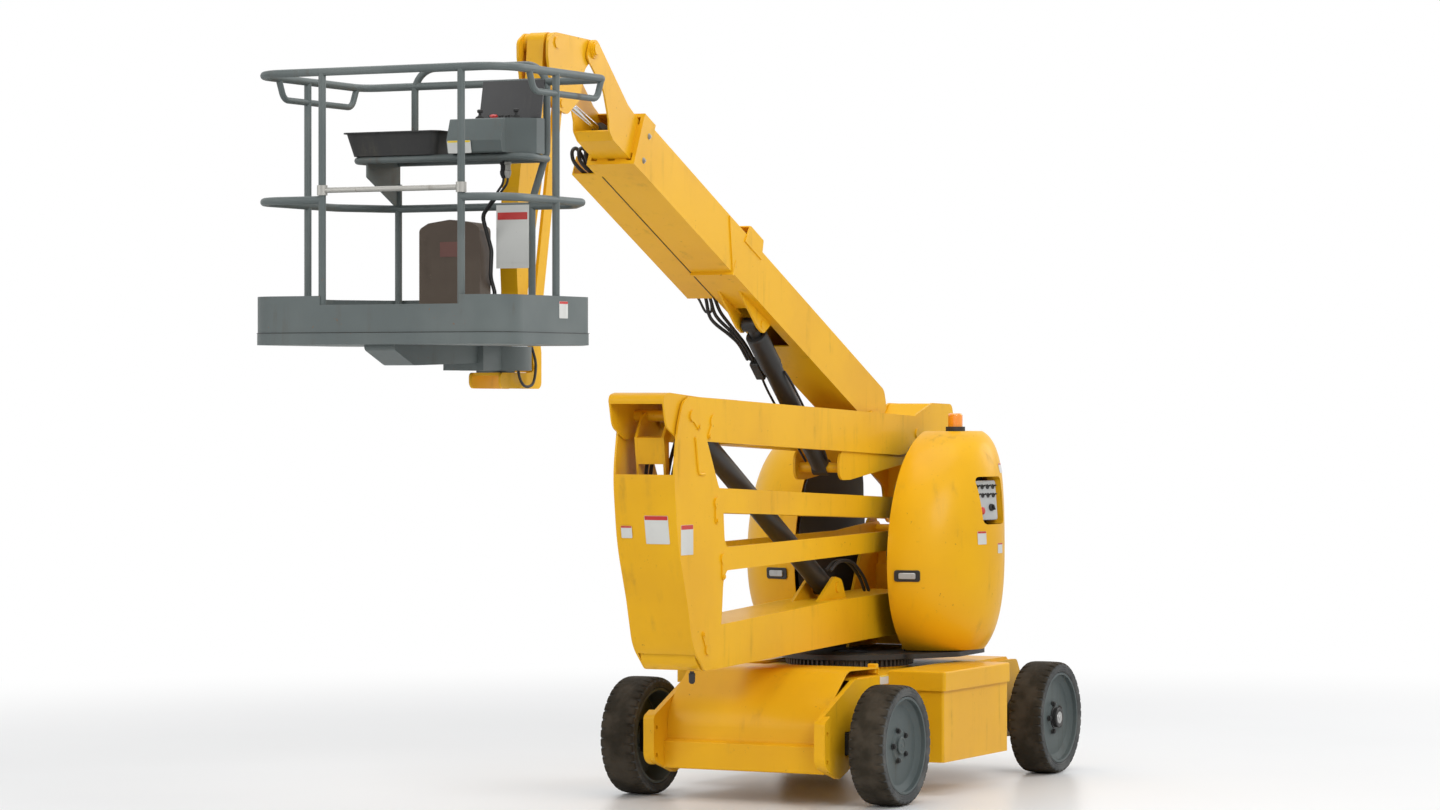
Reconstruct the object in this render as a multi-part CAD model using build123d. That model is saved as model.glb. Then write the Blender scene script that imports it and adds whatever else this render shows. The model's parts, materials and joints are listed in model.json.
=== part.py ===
from build123d import *
from math import atan2, cos, degrees, hypot, pi, radians, sin
import os

# Articulating boom lift with a double parallelogram riser, a telescopic boom, a jib and a turning basket.
# Millimetres. +X towards the steered axle, +Y to the machine's left, +Z up.
# The origin is on the floor, under the slewing axis, midway between the axles.

# ---- Wheels and axles
wheelbase = 1880.0
overall_width = 1470.0
tyre_radius = 279.5
tyre_width = 178.0
tyre_seat_radius = 226.0
rim_wall = 12.0
dish_recess = 45.0
dish_thickness = 10.0
spindle_radius = 30.0
hub_boss_radius = 56.0
kingpin_inset = 71.0
kingpin_radius = 20.0
axle_beam_width = 90.0
axle_beam_depth = 100.0

# ---- Chassis
deck_top = 575.0
deck_thickness = 12.0
pan_bottom = 180.0
frame_half_width = 420.0
frame_plate = 15.0
frame_front = 1040.0
frame_rear = -1060.0
nose_front = 1270.0
nose_rim = 58.0
nose_half_width = 470.0
nose_plate_inner = 425.0
nose_plate_outer = 440.0
cover_sheet = 5.0
box_front = 450.0
box_rear = -330.0
box_outer = 700.0
box_bottom = 160.0
box_top = 530.0
box_sheet = 4.0
lid_skirt = 30.0
lid_overhang = 15.0
lid_top = 592.0
box_hinge = (-342.0, 432.0)
box_hinge_pin = 8.0
box_knuckles = (200.0, 420.0)
box_knuckle_height = 50.0
battery_height = 290.0

# ---- Slewing ring and turntable
ring_teeth = 72
ring_tip_radius = 312.0
ring_tooth_depth = 12.0
ring_height = 37.0
base_radius = 335.0
base_thickness = 24.0
tail_radius = 735.0
hood_inner_y = 250.0
hood_sheet = 6.0
hood_hinge = (-722.0, 262.0)
hood_knuckles = (1000.0, 1300.0)
unit_top = 1180.0
mast_inner_y = 144.0
mast_plate = 15.0

# ---- Pins and running fits
pin_radius = 25.0
keeper_length = 95.0
keeper_width = 30.0
keeper_plate = 6.0
bolt_head_radius = 9.0
bolt_head_height = 6.0
fit_gap = 0.05
seat_gap = 0.3
side_gap = 6.0
arm_outer_y = 138.0
arm_plate = 8.0
boom_half_width = 106.0

# ---- Riser: pins in side view, (x, z)
lower_arm_front = (1833.0, 757.0)
lower_arm_rear = (-450.0, 822.0)
lower_tie_offset = (-154.0, 402.0)
upper_arm_front = (1985.0, 1808.0)
upper_arm_rear = (-500.0, 1706.0)
upper_tie_offset = (-241.0, -394.0)
riser_cylinder_low = (295.0, 973.0)
riser_cylinder_high = (1740.0, 1780.0)
lower_arm_depth = 200.0
tie_depth = 100.0
tie_plate = 10.0
knee_plate = 10.0

bracket_half_width = 74.0

# ---- Boom: pins in side view, and distances along and across the boom from its pivot
boom_pivot = (-60.0, 1765.0)
boom_angle = 25.3
boom_bottom = -32.5
boom_depth = 225.0
boom_wall = 6.0
boom_rear = -95.0
boom_front = 2775.0
fly_clearance = 10.0
fly_wall = 6.0
fly_rear = 1400.0
doubler_along = 1690.0
pad_length = 100.0
tip_along = 3261.0
tip_across = 253.0
lift_pivot = (320.0, 1550.0)
slave_pivot = (2500.0, 80.0)
slave_eye = (2941.0, 3191.0)
slave_pin_radius = 14.0
slave_rod_radius = 15.0
lift_lug_along = 1233.0
lift_lug_across = -70.0
lift_pin_radius = 18.0
lug_inner_y = 48.0
lug_plate = 12.0
lift_rod_radius = 27.0
riser_rod_radius = 30.0
gland_length = 50.0

# ---- Jib and platform bracket: pins in side view
jib_pin = (3082.0, 3395.0)
jib_length = (228.0, -1125.0)
jib_tie_offset = (-45.0, -255.0)
jib_half_width = 40.0
tie_pin_radius = 18.0

# ---- Basket
rotator_x = 3470.0
rotator_bottom = 1996.0
rotator_radius = 150.0
rotator_front = 3735.0
basket_front = 4452.0
basket_rear = 3550.0
basket_half_width = 602.0
basket_front_radius = 150.0
basket_rear_chamfer = (215.0, 150.0)
floor_bottom = 2104.0
floor_lip = 46.0
toe_board_top = 2298.0
toe_board_entry = 2262.0
toe_sheet = 3.0
entry = (-240.0, 400.0)
side_post_x = 4000.0
rear_post_y = -410.0
rail_radius = 16.0
post_radius = 15.0
mid_rail = 2680.0
top_rail = 3205.0
shelf_z = 2872.0
shelf_front = 3820.0
shelf_sides = (-480.0, 345.0)
hoop_posts = (-330.0, 300.0)
hoop_top = 3262.0
# Control cables: across at the console, ahead of the basket's rear at the box, behind it at the toe board
cable_rows = ((196.0, 28.0, 28.0), (176.0, 42.0, 14.0))
cable_lane = 48.0
# Document box: low y, high y, low z, high z, and its depth
box_place = (-265.0, 25.0, 2250.0, 2628.0)
box_depth = 90.0
cable_radius = 5.0
gland_radius = 9.0
gland_drop = 30.0

origin_centred = (Align.CENTER, Align.CENTER, Align.MIN)
side_view = Plane.XZ
parts = {}


# ---- Shape helpers
def outline(rows):
    # A closed outline; each row is (across, up, corner radius).
    points = [(row[0], row[1]) for row in rows]
    return make_face(FilletPolyline(*points, radius=[row[2] for row in rows], close=True))


def slab(rows, y_low, y_high, frame=side_view):
    # A side-view outline carried across the machine from y_low to y_high.
    return extrude(frame.offset(-y_high) * outline(rows), y_high - y_low)


def flat(rows, z_low, z_high):
    # A plan outline carried up from z_low to z_high.
    return extrude(Plane.XY.offset(z_low) * outline(rows), z_high - z_low)


def block(x_low, x_high, y_low, y_high, z_low, z_high):
    size = Box(x_high - x_low, y_high - y_low, z_high - z_low, align=(Align.MIN,) * 3)
    return Pos(x_low, y_low, z_low) * size


def across(point, radius, y_low, y_high):
    # A round bar along Y through a side-view point.
    base = Plane((point[0], y_low, point[1]), x_dir=(1, 0, 0), z_dir=(0, 1, 0))
    return base * Cylinder(radius, y_high - y_low, align=origin_centred)


def along_x(point, radius, x_low, x_high):
    # A round bar along X through an end-view point, (y, z).
    base = Plane((x_low, point[0], point[1]), x_dir=(0, 1, 0), z_dir=(1, 0, 0))
    return base * Cylinder(radius, x_high - x_low, align=origin_centred)


def upright(x, y, low, high, radius):
    return Pos(x, y, low) * Cylinder(radius, high - low, align=origin_centred)


def both(shape):
    return shape + mirror(shape, about=Plane.XZ)


def shifted(point, offset):
    return (point[0] + offset[0], point[1] + offset[1])


def distance(a, b):
    return hypot(b[0] - a[0], b[1] - a[1])


def along(start, end):
    # A side-view frame with its origin at start and its first axis towards end.
    angle = atan2(end[1] - start[1], end[0] - start[0])
    return Plane((start[0], 0, start[1]), x_dir=(cos(angle), 0, sin(angle)), z_dir=(0, -1, 0))


def round_bar(frame, start, end, radius):
    # A round bar along a side-view frame's first axis, from start to end.
    base = Plane(frame.from_local_coords(Vector(start, 0, 0)), x_dir=frame.z_dir, z_dir=frame.x_dir)
    return base * Cylinder(radius, end - start, align=origin_centred)


def swept_tube(points, radii, radius):
    # A round bar along straight runs joined by tangent arcs, one radius for each inner corner.
    path = FilletPolyline(*points, radius=radii) if radii else Line(*points)
    start = Plane(path @ 0, z_dir=path % 0)
    return sweep(start * Circle(radius), path=path)


def keeper(point, angle, y_low, y_high):
    # The small plate, bolted beside a pin's end, that stops the pin from turning.
    turned = radians(angle)
    frame = Plane((point[0], 0, point[1]), x_dir=(cos(turned), 0, sin(turned)), z_dir=(0, -1, 0))
    end, half = keeper_length, keeper_width / 2
    rows = [(-half, -half, half - 1), (end, -half, half - 1), (end, half, half - 1), (-half, half, half - 1)]
    return slab(rows, y_low, y_high, frame) + round_bolt(frame, end - half, y_high)


def round_bolt(frame, distance_along, y_low):
    centre = frame.from_local_coords(Vector(distance_along, 0, 0))
    return across((centre.X, centre.Z), bolt_head_radius, y_low - 1, y_low + bolt_head_height)


# ---- Places worked out from the driving dimensions
axle_x = wheelbase / 2
wheel_y = (overall_width - tyre_width) / 2
kingpin_y = wheel_y - kingpin_inset
axle_z = tyre_radius
dish_outer = overall_width / 2 - dish_recess
ring_bottom = deck_top + 8.0
base_bottom = ring_bottom + ring_height + seat_gap
base_top = base_bottom + base_thickness
lower_tie_front = shifted(lower_arm_front, lower_tie_offset)
lower_tie_rear = shifted(lower_arm_rear, lower_tie_offset)
upper_tie_front = shifted(upper_arm_front, upper_tie_offset)
upper_tie_rear = shifted(upper_arm_rear, upper_tie_offset)
knee_keepers = (
    (lower_arm_front, 60.0), (lower_tie_front, -90.0), (upper_tie_front, -90.0), (upper_arm_front, 217.0),
)
knee_inner_y = arm_outer_y + side_gap
knee_outer_y = knee_inner_y + knee_plate
mast_outer_y = mast_inner_y + mast_plate
gland_bottom = shelf_z + rail_radius - gland_drop
head_half_width = boom_half_width - boom_wall - fly_clearance - 8 - 5
boom_frame = Plane(
    (boom_pivot[0], 0, boom_pivot[1]),
    x_dir=(cos(radians(boom_angle)), 0, sin(radians(boom_angle))),
    z_dir=(0, -1, 0),
)


def on_boom(distance_along, distance_across):
    point = boom_frame.from_local_coords(Vector(distance_along, distance_across, 0))
    return (point.X, point.Z)


lift_lug = on_boom(lift_lug_along, lift_lug_across)
slave_foot = on_boom(*slave_pivot)
tip_pin = on_boom(tip_along, tip_across)
jib_foot = shifted(jib_pin, jib_length)
jib_tie_top = shifted(jib_pin, jib_tie_offset)
jib_tie_foot = shifted(jib_foot, jib_tie_offset)


# ---- Chassis
def chassis_frame():
    side = [
        (frame_rear, 330, 40), (frame_rear, deck_top - 60, 30), (frame_rear + 90, deck_top, 0),
        (frame_front - 230, deck_top, 0), (frame_front, deck_top - 140, 40), (frame_front, 260, 40),
        (frame_front - 120, pan_bottom, 0), (frame_rear + 130, pan_bottom, 0),
    ]
    tub = slab(side, -frame_half_width, frame_half_width)
    hollow = block(
        frame_rear + 80, frame_front - 80, -frame_half_width + frame_plate,
        frame_half_width - frame_plate, pan_bottom + 10, deck_top - deck_thickness,
    )
    tub -= hollow
    for x in (-600.0, 0.0, 600.0):
        tub += block(
            x - 6, x + 6, -frame_half_width + frame_plate, frame_half_width - frame_plate,
            pan_bottom + 10, deck_top - deck_thickness,
        )
    tub += Pos(0, 0, deck_top - 2) * Cylinder(ring_tip_radius - 20, ring_bottom - deck_top + 2, align=origin_centred)
    tub -= Pos(0, 0, pan_bottom) * Cylinder(190, 600, align=origin_centred)
    plate = [
        (560, 330, 0), (560, 500, 40), (640, deck_top - 4, 30), (880, deck_top - 4, 30),
        (nose_front, 400, 25), (nose_front, 190, 60), (1050, 120, 50), (960, 150, 0),
    ]
    rim = [
        (nose_front - nose_rim, 424, 0), (nose_front, 398, 25), (nose_front, 190, 60),
        (nose_front - nose_rim, 168, 0),
    ]
    nose = slab(plate, nose_plate_inner - 10, nose_plate_outer)
    nose += slab(rim, nose_plate_outer, nose_half_width)
    for z in (215.0, 345.0):
        nose -= across((nose_front - 30, z), 11, nose_plate_inner - 20, nose_half_width + 1)
    tail = [
        (-640, 330, 0), (-640, 470, 30), (-760, 560, 30), (frame_rear, 560, 40),
        (frame_rear - 60, 470, 40), (frame_rear - 60, 240, 50), (-960, 170, 40), (-900, 190, 0),
    ]
    nose += slab(tail, nose_plate_inner - 10, nose_plate_outer)
    frame = tub + both(nose)
    clearance = side_gap
    for x in (-axle_x, axle_x):
        frame -= block(
            x - axle_beam_width / 2 - clearance, x + axle_beam_width / 2 + clearance,
            -nose_half_width, nose_half_width,
            axle_z - axle_beam_depth / 2 - clearance, axle_z + axle_beam_depth / 2 + clearance,
        )
    for side in (1, -1):
        frame += box_hinge_pins(side)
    for x in (-axle_x, axle_x):
        saddle = block(
            x - axle_beam_width / 2, x + axle_beam_width / 2, 1 - frame_half_width, frame_half_width - 1,
            axle_z + axle_beam_depth / 2 + seat_gap, axle_z + axle_beam_depth / 2 + 70,
        )
        frame += saddle
    cover = [
        (frame_rear + 1, 545, 0), (-1090, 545, 30), (-1110, 470, 40), (-1110, 250, 40), (-1080, 200, 0),
        (frame_rear + 1, 200, 0),
    ]
    half = nose_plate_inner - 10
    return frame + slab(cover, -half, half)


def nose_cover():
    # A bent sheet, given as its outer line forwards and its inner line back.
    t = cover_sheet
    rows = [
        (560, deck_top + seat_gap, 0), (560, 610, 6), (900, 616, 120), (1128, 440, 200), (1136, 286, 0),
        (1168, 276, 4), (1168, 150, 8), (1062, 150, 0), (1062, 150 + t, 0), (1168 - t, 150 + t, 3),
        (1168 - t, 276 - t, 0), (1136 - t, 286 - t, 0), (1128 - t, 438, 195), (899, 616 - t, 115),
        (560 + t, 610 - t, 2), (560 + t, deck_top + seat_gap, 0),
    ]
    half = nose_plate_inner - 10 - seat_gap
    return slab(rows, -half, half)


def battery_box(side):
    # A tray that swings out about a pin at its rear inner corner, with its batteries as one plain block.
    outer = block(box_rear, box_front, frame_half_width + seat_gap, box_outer, box_bottom, box_top)
    outer = fillet(outer.edges().filter_by(Axis.Z).group_by(Axis.Y)[-1], 12)
    inner = block(
        box_rear + box_sheet, box_front - box_sheet, frame_half_width + seat_gap + box_sheet,
        box_outer - box_sheet, box_bottom + box_sheet, box_top + 1,
    )
    box = outer - inner
    box += block(
        box_rear + 20, box_front - 20, frame_half_width + 24, box_outer - 20,
        box_bottom + box_sheet - 1, box_bottom + box_sheet + battery_height,
    )
    x, y = box_hinge
    for z in box_knuckles:
        box += upright(x, y, z, z + box_knuckle_height, box_hinge_pin + 3)
        box += block(x, box_rear + 1, y - 5, y + box_hinge_pin + 3, z, z + box_knuckle_height)
        box -= upright(x, y, z - 1, z + box_knuckle_height + 1, box_hinge_pin + fit_gap)
    return box if side > 0 else mirror(box, about=Plane.XZ)


def battery_lid(side):
    skirt, over = lid_skirt, lid_overhang
    outer = block(
        box_rear, box_front + over, frame_half_width + 2, box_outer + over, box_top - skirt, lid_top,
    )
    outer = fillet(outer.edges().filter_by(Axis.Z).group_by(Axis.Y)[-1], 16)
    outer = fillet(outer.faces().sort_by(Axis.Z)[-1].edges(), 10)
    inner = block(box_rear - 6, box_front + 6, 0, box_outer + 6, box_top - skirt - 1, box_top + seat_gap)
    void = block(
        box_rear + 20, box_front - 20, frame_half_width + 20, box_outer - 20, box_top - 1, lid_top - box_sheet,
    )
    lid = outer - inner - void
    return lid if side > 0 else mirror(lid, about=Plane.XZ)


def box_hinge_pins(side):
    # The pins a battery box turns on, each in two ears on the frame's side.
    x, y = box_hinge
    pins = None
    for z in box_knuckles:
        pin = upright(x, y, z - 14, z + box_knuckle_height + 14, box_hinge_pin)
        for low in (z - 14, z + box_knuckle_height + 2):
            pin += upright(x, y, low, low + 12, box_hinge_pin + 2)
            pin += block(x - 10, x + 8, frame_half_width - 2, y, low, low + 12)
        pins = pin if pins is None else pins + pin
    return pins if side > 0 else mirror(pins, about=Plane.XZ)


# ---- Axles, knuckles and wheels
def front_axle():
    beam = block(
        axle_x - axle_beam_width / 2, axle_x + axle_beam_width / 2, -kingpin_y, kingpin_y,
        axle_z - axle_beam_depth / 2, axle_z + axle_beam_depth / 2,
    )
    for y in (-kingpin_y, kingpin_y):
        eye = Pos(axle_x, y, axle_z - axle_beam_depth / 2) * Cylinder(
            axle_beam_width / 2, axle_beam_depth, align=origin_centred
        )
        beam += eye
        beam -= Pos(axle_x, y, 0) * Cylinder(kingpin_radius + fit_gap, 1000, align=origin_centred)
    return beam


def knuckle(side):
    reach = axle_beam_depth / 2 + side_gap
    web_y = kingpin_y + axle_beam_width / 2 + side_gap
    body = None
    for z in (axle_z - reach - 20, axle_z + reach):
        arm = Pos(axle_x, kingpin_y, z) * Cylinder(axle_beam_width / 2 - 3, 20, align=origin_centred)
        arm += block(axle_x - 42, axle_x + 42, kingpin_y, web_y + 14, z, z + 20)
        body = arm if body is None else body + arm
    body += block(
        axle_x - 42, axle_x + 42, web_y, web_y + 14, axle_z - reach - 20, axle_z + reach + 20
    )
    body += Pos(axle_x, kingpin_y, axle_z - reach - 20) * Cylinder(
        kingpin_radius, 2 * reach + 40, align=origin_centred
    )
    body += across((axle_x, axle_z), spindle_radius, web_y + 10, dish_outer - dish_thickness)
    return body if side > 0 else mirror(body, about=Plane.XZ)


def rear_axle():
    beam = block(
        -axle_x - axle_beam_width / 2, -axle_x + axle_beam_width / 2, -wheel_y + 60, wheel_y - 60,
        axle_z - axle_beam_depth / 2, axle_z + axle_beam_depth / 2,
    )
    hub = across((-axle_x, axle_z), 95, nose_plate_outer + 30, wheel_y - 30)
    hub += across((-axle_x, axle_z), 70, wheel_y - 32, wheel_y - 12)
    hub += across((-axle_x, axle_z), spindle_radius, wheel_y - 20, dish_outer - dish_thickness)
    return beam + both(hub)


def wheel_outline(rows, x, side):
    # Rows of (distance out along the axle from the wheel's middle, radius, corner radius).
    points = [(row[1], row[0], row[2]) for row in rows]
    frame = Plane((x, side * wheel_y, axle_z), x_dir=(0, 0, 1), z_dir=(1, 0, 0))
    if side < 0:
        points = [(row[0], -row[1], row[2]) for row in points]
    # The frame's first axis is the radius and its second is -Y, so distances out change sign.
    points = [(row[0], -row[1], row[2]) for row in points]
    axis = Axis((x, 0, axle_z), (0, 1, 0))
    return revolve(frame * outline(points), axis)


def tyre(x, side):
    half = tyre_width / 2
    rows = [
        (-half + 4, tyre_seat_radius + seat_gap, 4), (-half, tyre_seat_radius + 16, 6),
        (-half, tyre_radius - 26, 8), (-half + 12, tyre_radius, 10),
        (half - 12, tyre_radius, 10), (half, tyre_radius - 26, 8),
        (half, tyre_seat_radius + 16, 6), (half - 4, tyre_seat_radius + seat_gap, 4),
    ]
    return wheel_outline(rows, x, side)


def rim(x, side):
    half = tyre_width / 2 - 6
    inner = tyre_seat_radius - rim_wall
    dish = dish_outer - wheel_y
    boss_inner = -4.0 if x > 0 else -6.0
    rows = [
        (-half, inner, 2), (-half, tyre_seat_radius, 2), (half, tyre_seat_radius, 2),
        (half, inner, 2), (dish + 16, inner, 6), (dish, inner - 30, 10), (dish, 78, 4),
        (dish + 7, 70, 3), (dish + 7, 40, 3), (dish + 14, 32, 2), (dish + 14, 0, 0),
        (dish - dish_thickness + 1, 0, 0), (dish - dish_thickness + 1, spindle_radius + fit_gap, 0),
        (boss_inner, spindle_radius + fit_gap, 0), (boss_inner, hub_boss_radius, 2),
        (dish - dish_thickness, hub_boss_radius + 6, 4), (dish - dish_thickness, inner - 26, 10),
        (dish, inner, 4),
    ]
    return wheel_outline(rows, x, side)


def drive_cap(side):
    dish = dish_outer - wheel_y
    rows = [
        (dish + 14 + seat_gap, 0, 0), (dish + 14 + seat_gap, 48, 2), (dish + 20, 50, 2),
        (dish + 36, 46, 6), (dish + 38, 24, 2), (dish + 44, 22, 3), (dish + 44, 0, 0),
    ]
    return wheel_outline(rows, -axle_x, side)


# ---- Slewing ring, turntable and hoods
def slew_ring():
    points = []
    for tooth in range(ring_teeth):
        middle = 2 * pi * tooth / ring_teeth
        pitch = 2 * pi / ring_teeth
        corners = (
            (-0.30, ring_tip_radius - ring_tooth_depth), (-0.16, ring_tip_radius),
            (0.16, ring_tip_radius), (0.30, ring_tip_radius - ring_tooth_depth),
        )
        for share, radius in corners:
            angle = middle + share * pitch
            points.append((radius * cos(angle), radius * sin(angle)))
    gear = extrude(Plane.XY.offset(ring_bottom + 5) * make_face(Polyline(*points, close=True)), ring_height - 10)
    gear += Pos(0, 0, ring_bottom + seat_gap) * Cylinder(
        ring_tip_radius - ring_tooth_depth - 4, ring_height - seat_gap, align=origin_centred
    )
    return gear - Pos(0, 0, 0) * Cylinder(200, 1000, align=origin_centred)


def turntable_base():
    plan = [
        (-tail_radius + 120, -470, 60), (-200, -500, 60), (60, -380, 60), (60, 380, 60),
        (-200, 500, 60), (-tail_radius + 120, 470, 60),
    ]
    base = flat(plan, base_bottom, base_top)
    base += Pos(0, 0, base_bottom) * Cylinder(base_radius, base_thickness, align=origin_centred)
    return base - Pos(0, 0, 0) * Cylinder(90, 1000, align=origin_centred)


def turntable_mast():
    rows = [
        (-300, base_top, 0), (-330, 880, 40), (lower_arm_rear[0] + 60, 1000, 60),
        (lower_tie_rear[0] + 62, lower_tie_rear[1] + 62, 60),
        (lower_tie_rear[0] - 40, lower_tie_rear[1] + 62, 40),
        (-640, lower_tie_rear[1] - 40, 0), (-640, base_top, 0),
    ]
    plates = both(slab(rows, mast_inner_y, mast_outer_y))
    plates += block(-640, -620, -mast_inner_y - 5, mast_inner_y + 5, base_top, 1050)
    for point in (lower_arm_rear, lower_tie_rear):
        plates += across(point, pin_radius, -mast_outer_y - 8, mast_outer_y + 8)
    return plates


def counterweight():
    rows = [
        (-640 - seat_gap, -240, 0), (-640 - seat_gap, 240, 0), (-700, 240, 40), (-734, 120, 200),
        (-734, -120, 200), (-700, -240, 40),
    ]
    return flat(rows, base_top + seat_gap, 1150)


# Hood sections: height, front corner x, rear corner x, outermost y
hood_sections = (
    (650.0, -110.0, -610.0, 540.0),
    (800.0, 40.0, -672.0, 625.0),
    (1130.0, 105.0, -702.0, 662.0),
    (1450.0, 10.0, -690.0, 640.0),
    (1640.0, -160.0, -655.0, 580.0),
    (1720.0, -340.0, -600.0, 490.0),
)


def hood_section(height, front, rear, outer, inset):
    # Two arcs that meet square to Y at the outermost point, closed along the inner plane.
    front, rear, outer = front - inset, rear + inset, outer - inset
    middle = (front + rear) / 2
    start, crown, end = (front, hood_inner_y), (middle, outer), (rear, hood_inner_y)
    rise, half = outer - hood_inner_y, (front - rear) / 2
    radius = (half * half + rise * rise) / (2 * rise)
    centre_y = outer - radius
    reach = atan2(half, hood_inner_y - centre_y) / 2
    front_mid = (middle + radius * sin(reach), centre_y + radius * cos(reach))
    rear_mid = (middle - radius * sin(reach), centre_y + radius * cos(reach))
    edges = Curve() + [
        ThreePointArc(start, front_mid, crown), ThreePointArc(crown, rear_mid, end), Line(end, start),
    ]
    return Plane.XY.offset(height) * make_face(edges.edges())


def hood_shell():
    outer = loft([hood_section(*row, 0.0) for row in hood_sections])
    low = hood_sections[0][0] - 1
    high = hood_sections[-1][0] - hood_sheet
    rows = [(low, *hood_sections[0][1:])] + list(hood_sections[1:-1]) + [(high, *hood_sections[-1][1:])]
    inner = loft([hood_section(*row, hood_sheet) for row in rows])
    inner = Pos(0, -hood_sheet, 0) * inner + inner
    return outer - inner


# Control window in the left hood: low x, high x, low z, high z
window = (-400.0, -180.0, 1268.0, 1500.0)


def hood(side):
    shell = hood_shell()
    if side > 0:
        low_x, high_x, low_z, high_z = window
        cut = [(low_x, low_z, 30), (high_x, low_z, 30), (high_x, high_z, 30), (low_x, high_z, 30)]
        shell -= slab(cut, 500, 800)
    x, y = hood_hinge
    for z in hood_knuckles:
        knuckle_tube = upright(x, y, z, z + 60, 15)
        knuckle_tube += block(x, x + 60, y - 12, y - 4, z, z + 60)
        shell += knuckle_tube
        shell -= upright(x, y, z - 1, z + 61, 8 + fit_gap)
    return shell if side > 0 else mirror(shell, about=Plane.XZ)


def hood_panel(side):
    # The black bulkhead that closes the inner side of a hood.
    inset = hood_sheet + 6
    rows = [(row[1] - inset, row[0], 0) for row in hood_sections]
    rows += [(row[2] + inset, row[0], 0) for row in reversed(hood_sections)]
    rows[0] = (rows[0][0], base_top + seat_gap, 0)
    rows[-1] = (rows[-1][0], base_top + seat_gap, 0)
    top = len(hood_sections)
    rows[top - 1] = (rows[top - 1][0], hood_sections[-1][0] - inset, 0)
    rows[top] = (rows[top][0], hood_sections[-1][0] - inset, 0)
    panel = slab(rows, hood_inner_y - 10, hood_inner_y - side_gap + 2)
    x, y = hood_hinge
    low, high = hood_knuckles[0] - 25, hood_knuckles[-1] + 85
    panel += upright(x, y, low, high, 8)
    for z in (low, high - 20):
        panel += upright(x, y, z, z + 20, 15)
        panel += block(x - 6, x + 60, hood_inner_y - 10, hood_inner_y - side_gap + 2, z, z + 20)
        panel += block(x - 6, x + 6, hood_inner_y - 10, y, z, z + 20)
    # what the hood covers, as one plain block
    unit = [
        (-540, hood_inner_y - 10, 0), (-170, hood_inner_y - 10, 0), (-170, 380, 60), (-260, 440, 60),
        (-460, 440, 60), (-540, 400, 30),
    ]
    panel += flat(unit, base_top + seat_gap, unit_top)
    return panel if side > 0 else mirror(panel, about=Plane.XZ)


def control_panel():
    low_x, high_x, low_z, high_z = window
    face = block(low_x - 12, high_x + 12, 518, 528, low_z - 12, high_z + 12)
    box = block(low_x + 30, high_x - 30, 380, 520, low_z + 20, high_z - 20)
    stalk = block(-330, -250, 360, 430, unit_top + seat_gap, low_z + 60)
    return face + box + stalk


def beacon():
    foot = Pos(-410, 385, hood_sections[-1][0] + seat_gap) * Cylinder(48, 22, align=origin_centred)
    return foot


def beacon_lens():
    lens = Pos(-410, 385, hood_sections[-1][0] + 22 + 2 * seat_gap) * Cylinder(36, 66, align=origin_centred)
    return fillet(lens.edges().sort_by(Axis.Z)[-1], 12)


# ---- Riser
def arm_boss(shape, point, y_low, y_high, radius):
    return shape + both(across(point, radius, y_low, y_high))


def bored(shape, *points):
    for point in points:
        shape -= across(point, pin_radius + fit_gap, -400, 400)
    return shape


def lower_arm():
    half = lower_arm_depth / 2
    front, rear = lower_arm_front, lower_arm_rear
    rows = [
        (rear[0] - half, rear[1] - half, half - 1), (60, 712, 0), (front[0] - 70, 661, 0),
        (front[0] + half - 5, front[1] - half + 4, half - 6), (front[0] + half - 5, front[1] + half, half - 6),
        (1700, 860, 0), (462, 914, 0), (rear[0] - half, rear[1] + half + 10, half - 1),
    ]
    beam = slab(rows, -arm_outer_y, arm_outer_y)
    web = arm_plate
    inner = [
        (rear[0] + half + 40, rear[1] - half + 20, 0), (60, 712 + web, 0), (1640, 664 + web, 0),
        (1640, 862 - web, 0), (462, 914 - web, 0), (rear[0] + half + 40, rear[1] + half - 10, 0),
    ]
    beam -= slab(inner, -arm_outer_y + web, arm_outer_y - web)
    lug = [(190, 905, 0), (250, 1010, 40), (330, 1025, 40), (520, 905, 0)]
    beam += both(slab(lug, 58, 74))
    beam = bored(beam, front, rear)
    return beam + across(riser_cylinder_low, pin_radius, -80, 80)


def tie(front, rear, rows):
    bars = both(slab(rows, arm_outer_y - tie_plate, arm_outer_y))
    return bored(bars, front, rear)


def lower_tie():
    front, rear = lower_tie_front, lower_tie_rear
    rows = [
        (rear[0] - 40, rear[1] - 42, 39), (-520, 1141, 60), (front[0] - 60, 1104, 0),
        (front[0] + 50, front[1] - 55, 49), (front[0] + 50, front[1] + 50, 49), (-124, 1230, 0),
        (rear[0] + 30, rear[1] + 40, 60), (rear[0] - 40, rear[1] + 40, 39),
    ]
    return tie(front, rear, rows)


def upper_tie():
    front, rear = upper_tie_front, upper_tie_rear
    rows = [
        (rear[0] - 50, rear[1] - 44, 43), (-171, 1294, 0), (front[0] - 40, 1369, 60),
        (front[0] + 48, front[1] - 48, 46), (front[0] + 48, front[1] + 50, 46), (front[0] - 40, 1481, 60),
        (-207, 1396, 0), (rear[0] - 50, rear[1] + 50, 49),
    ]
    return tie(front, rear, rows)


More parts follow.
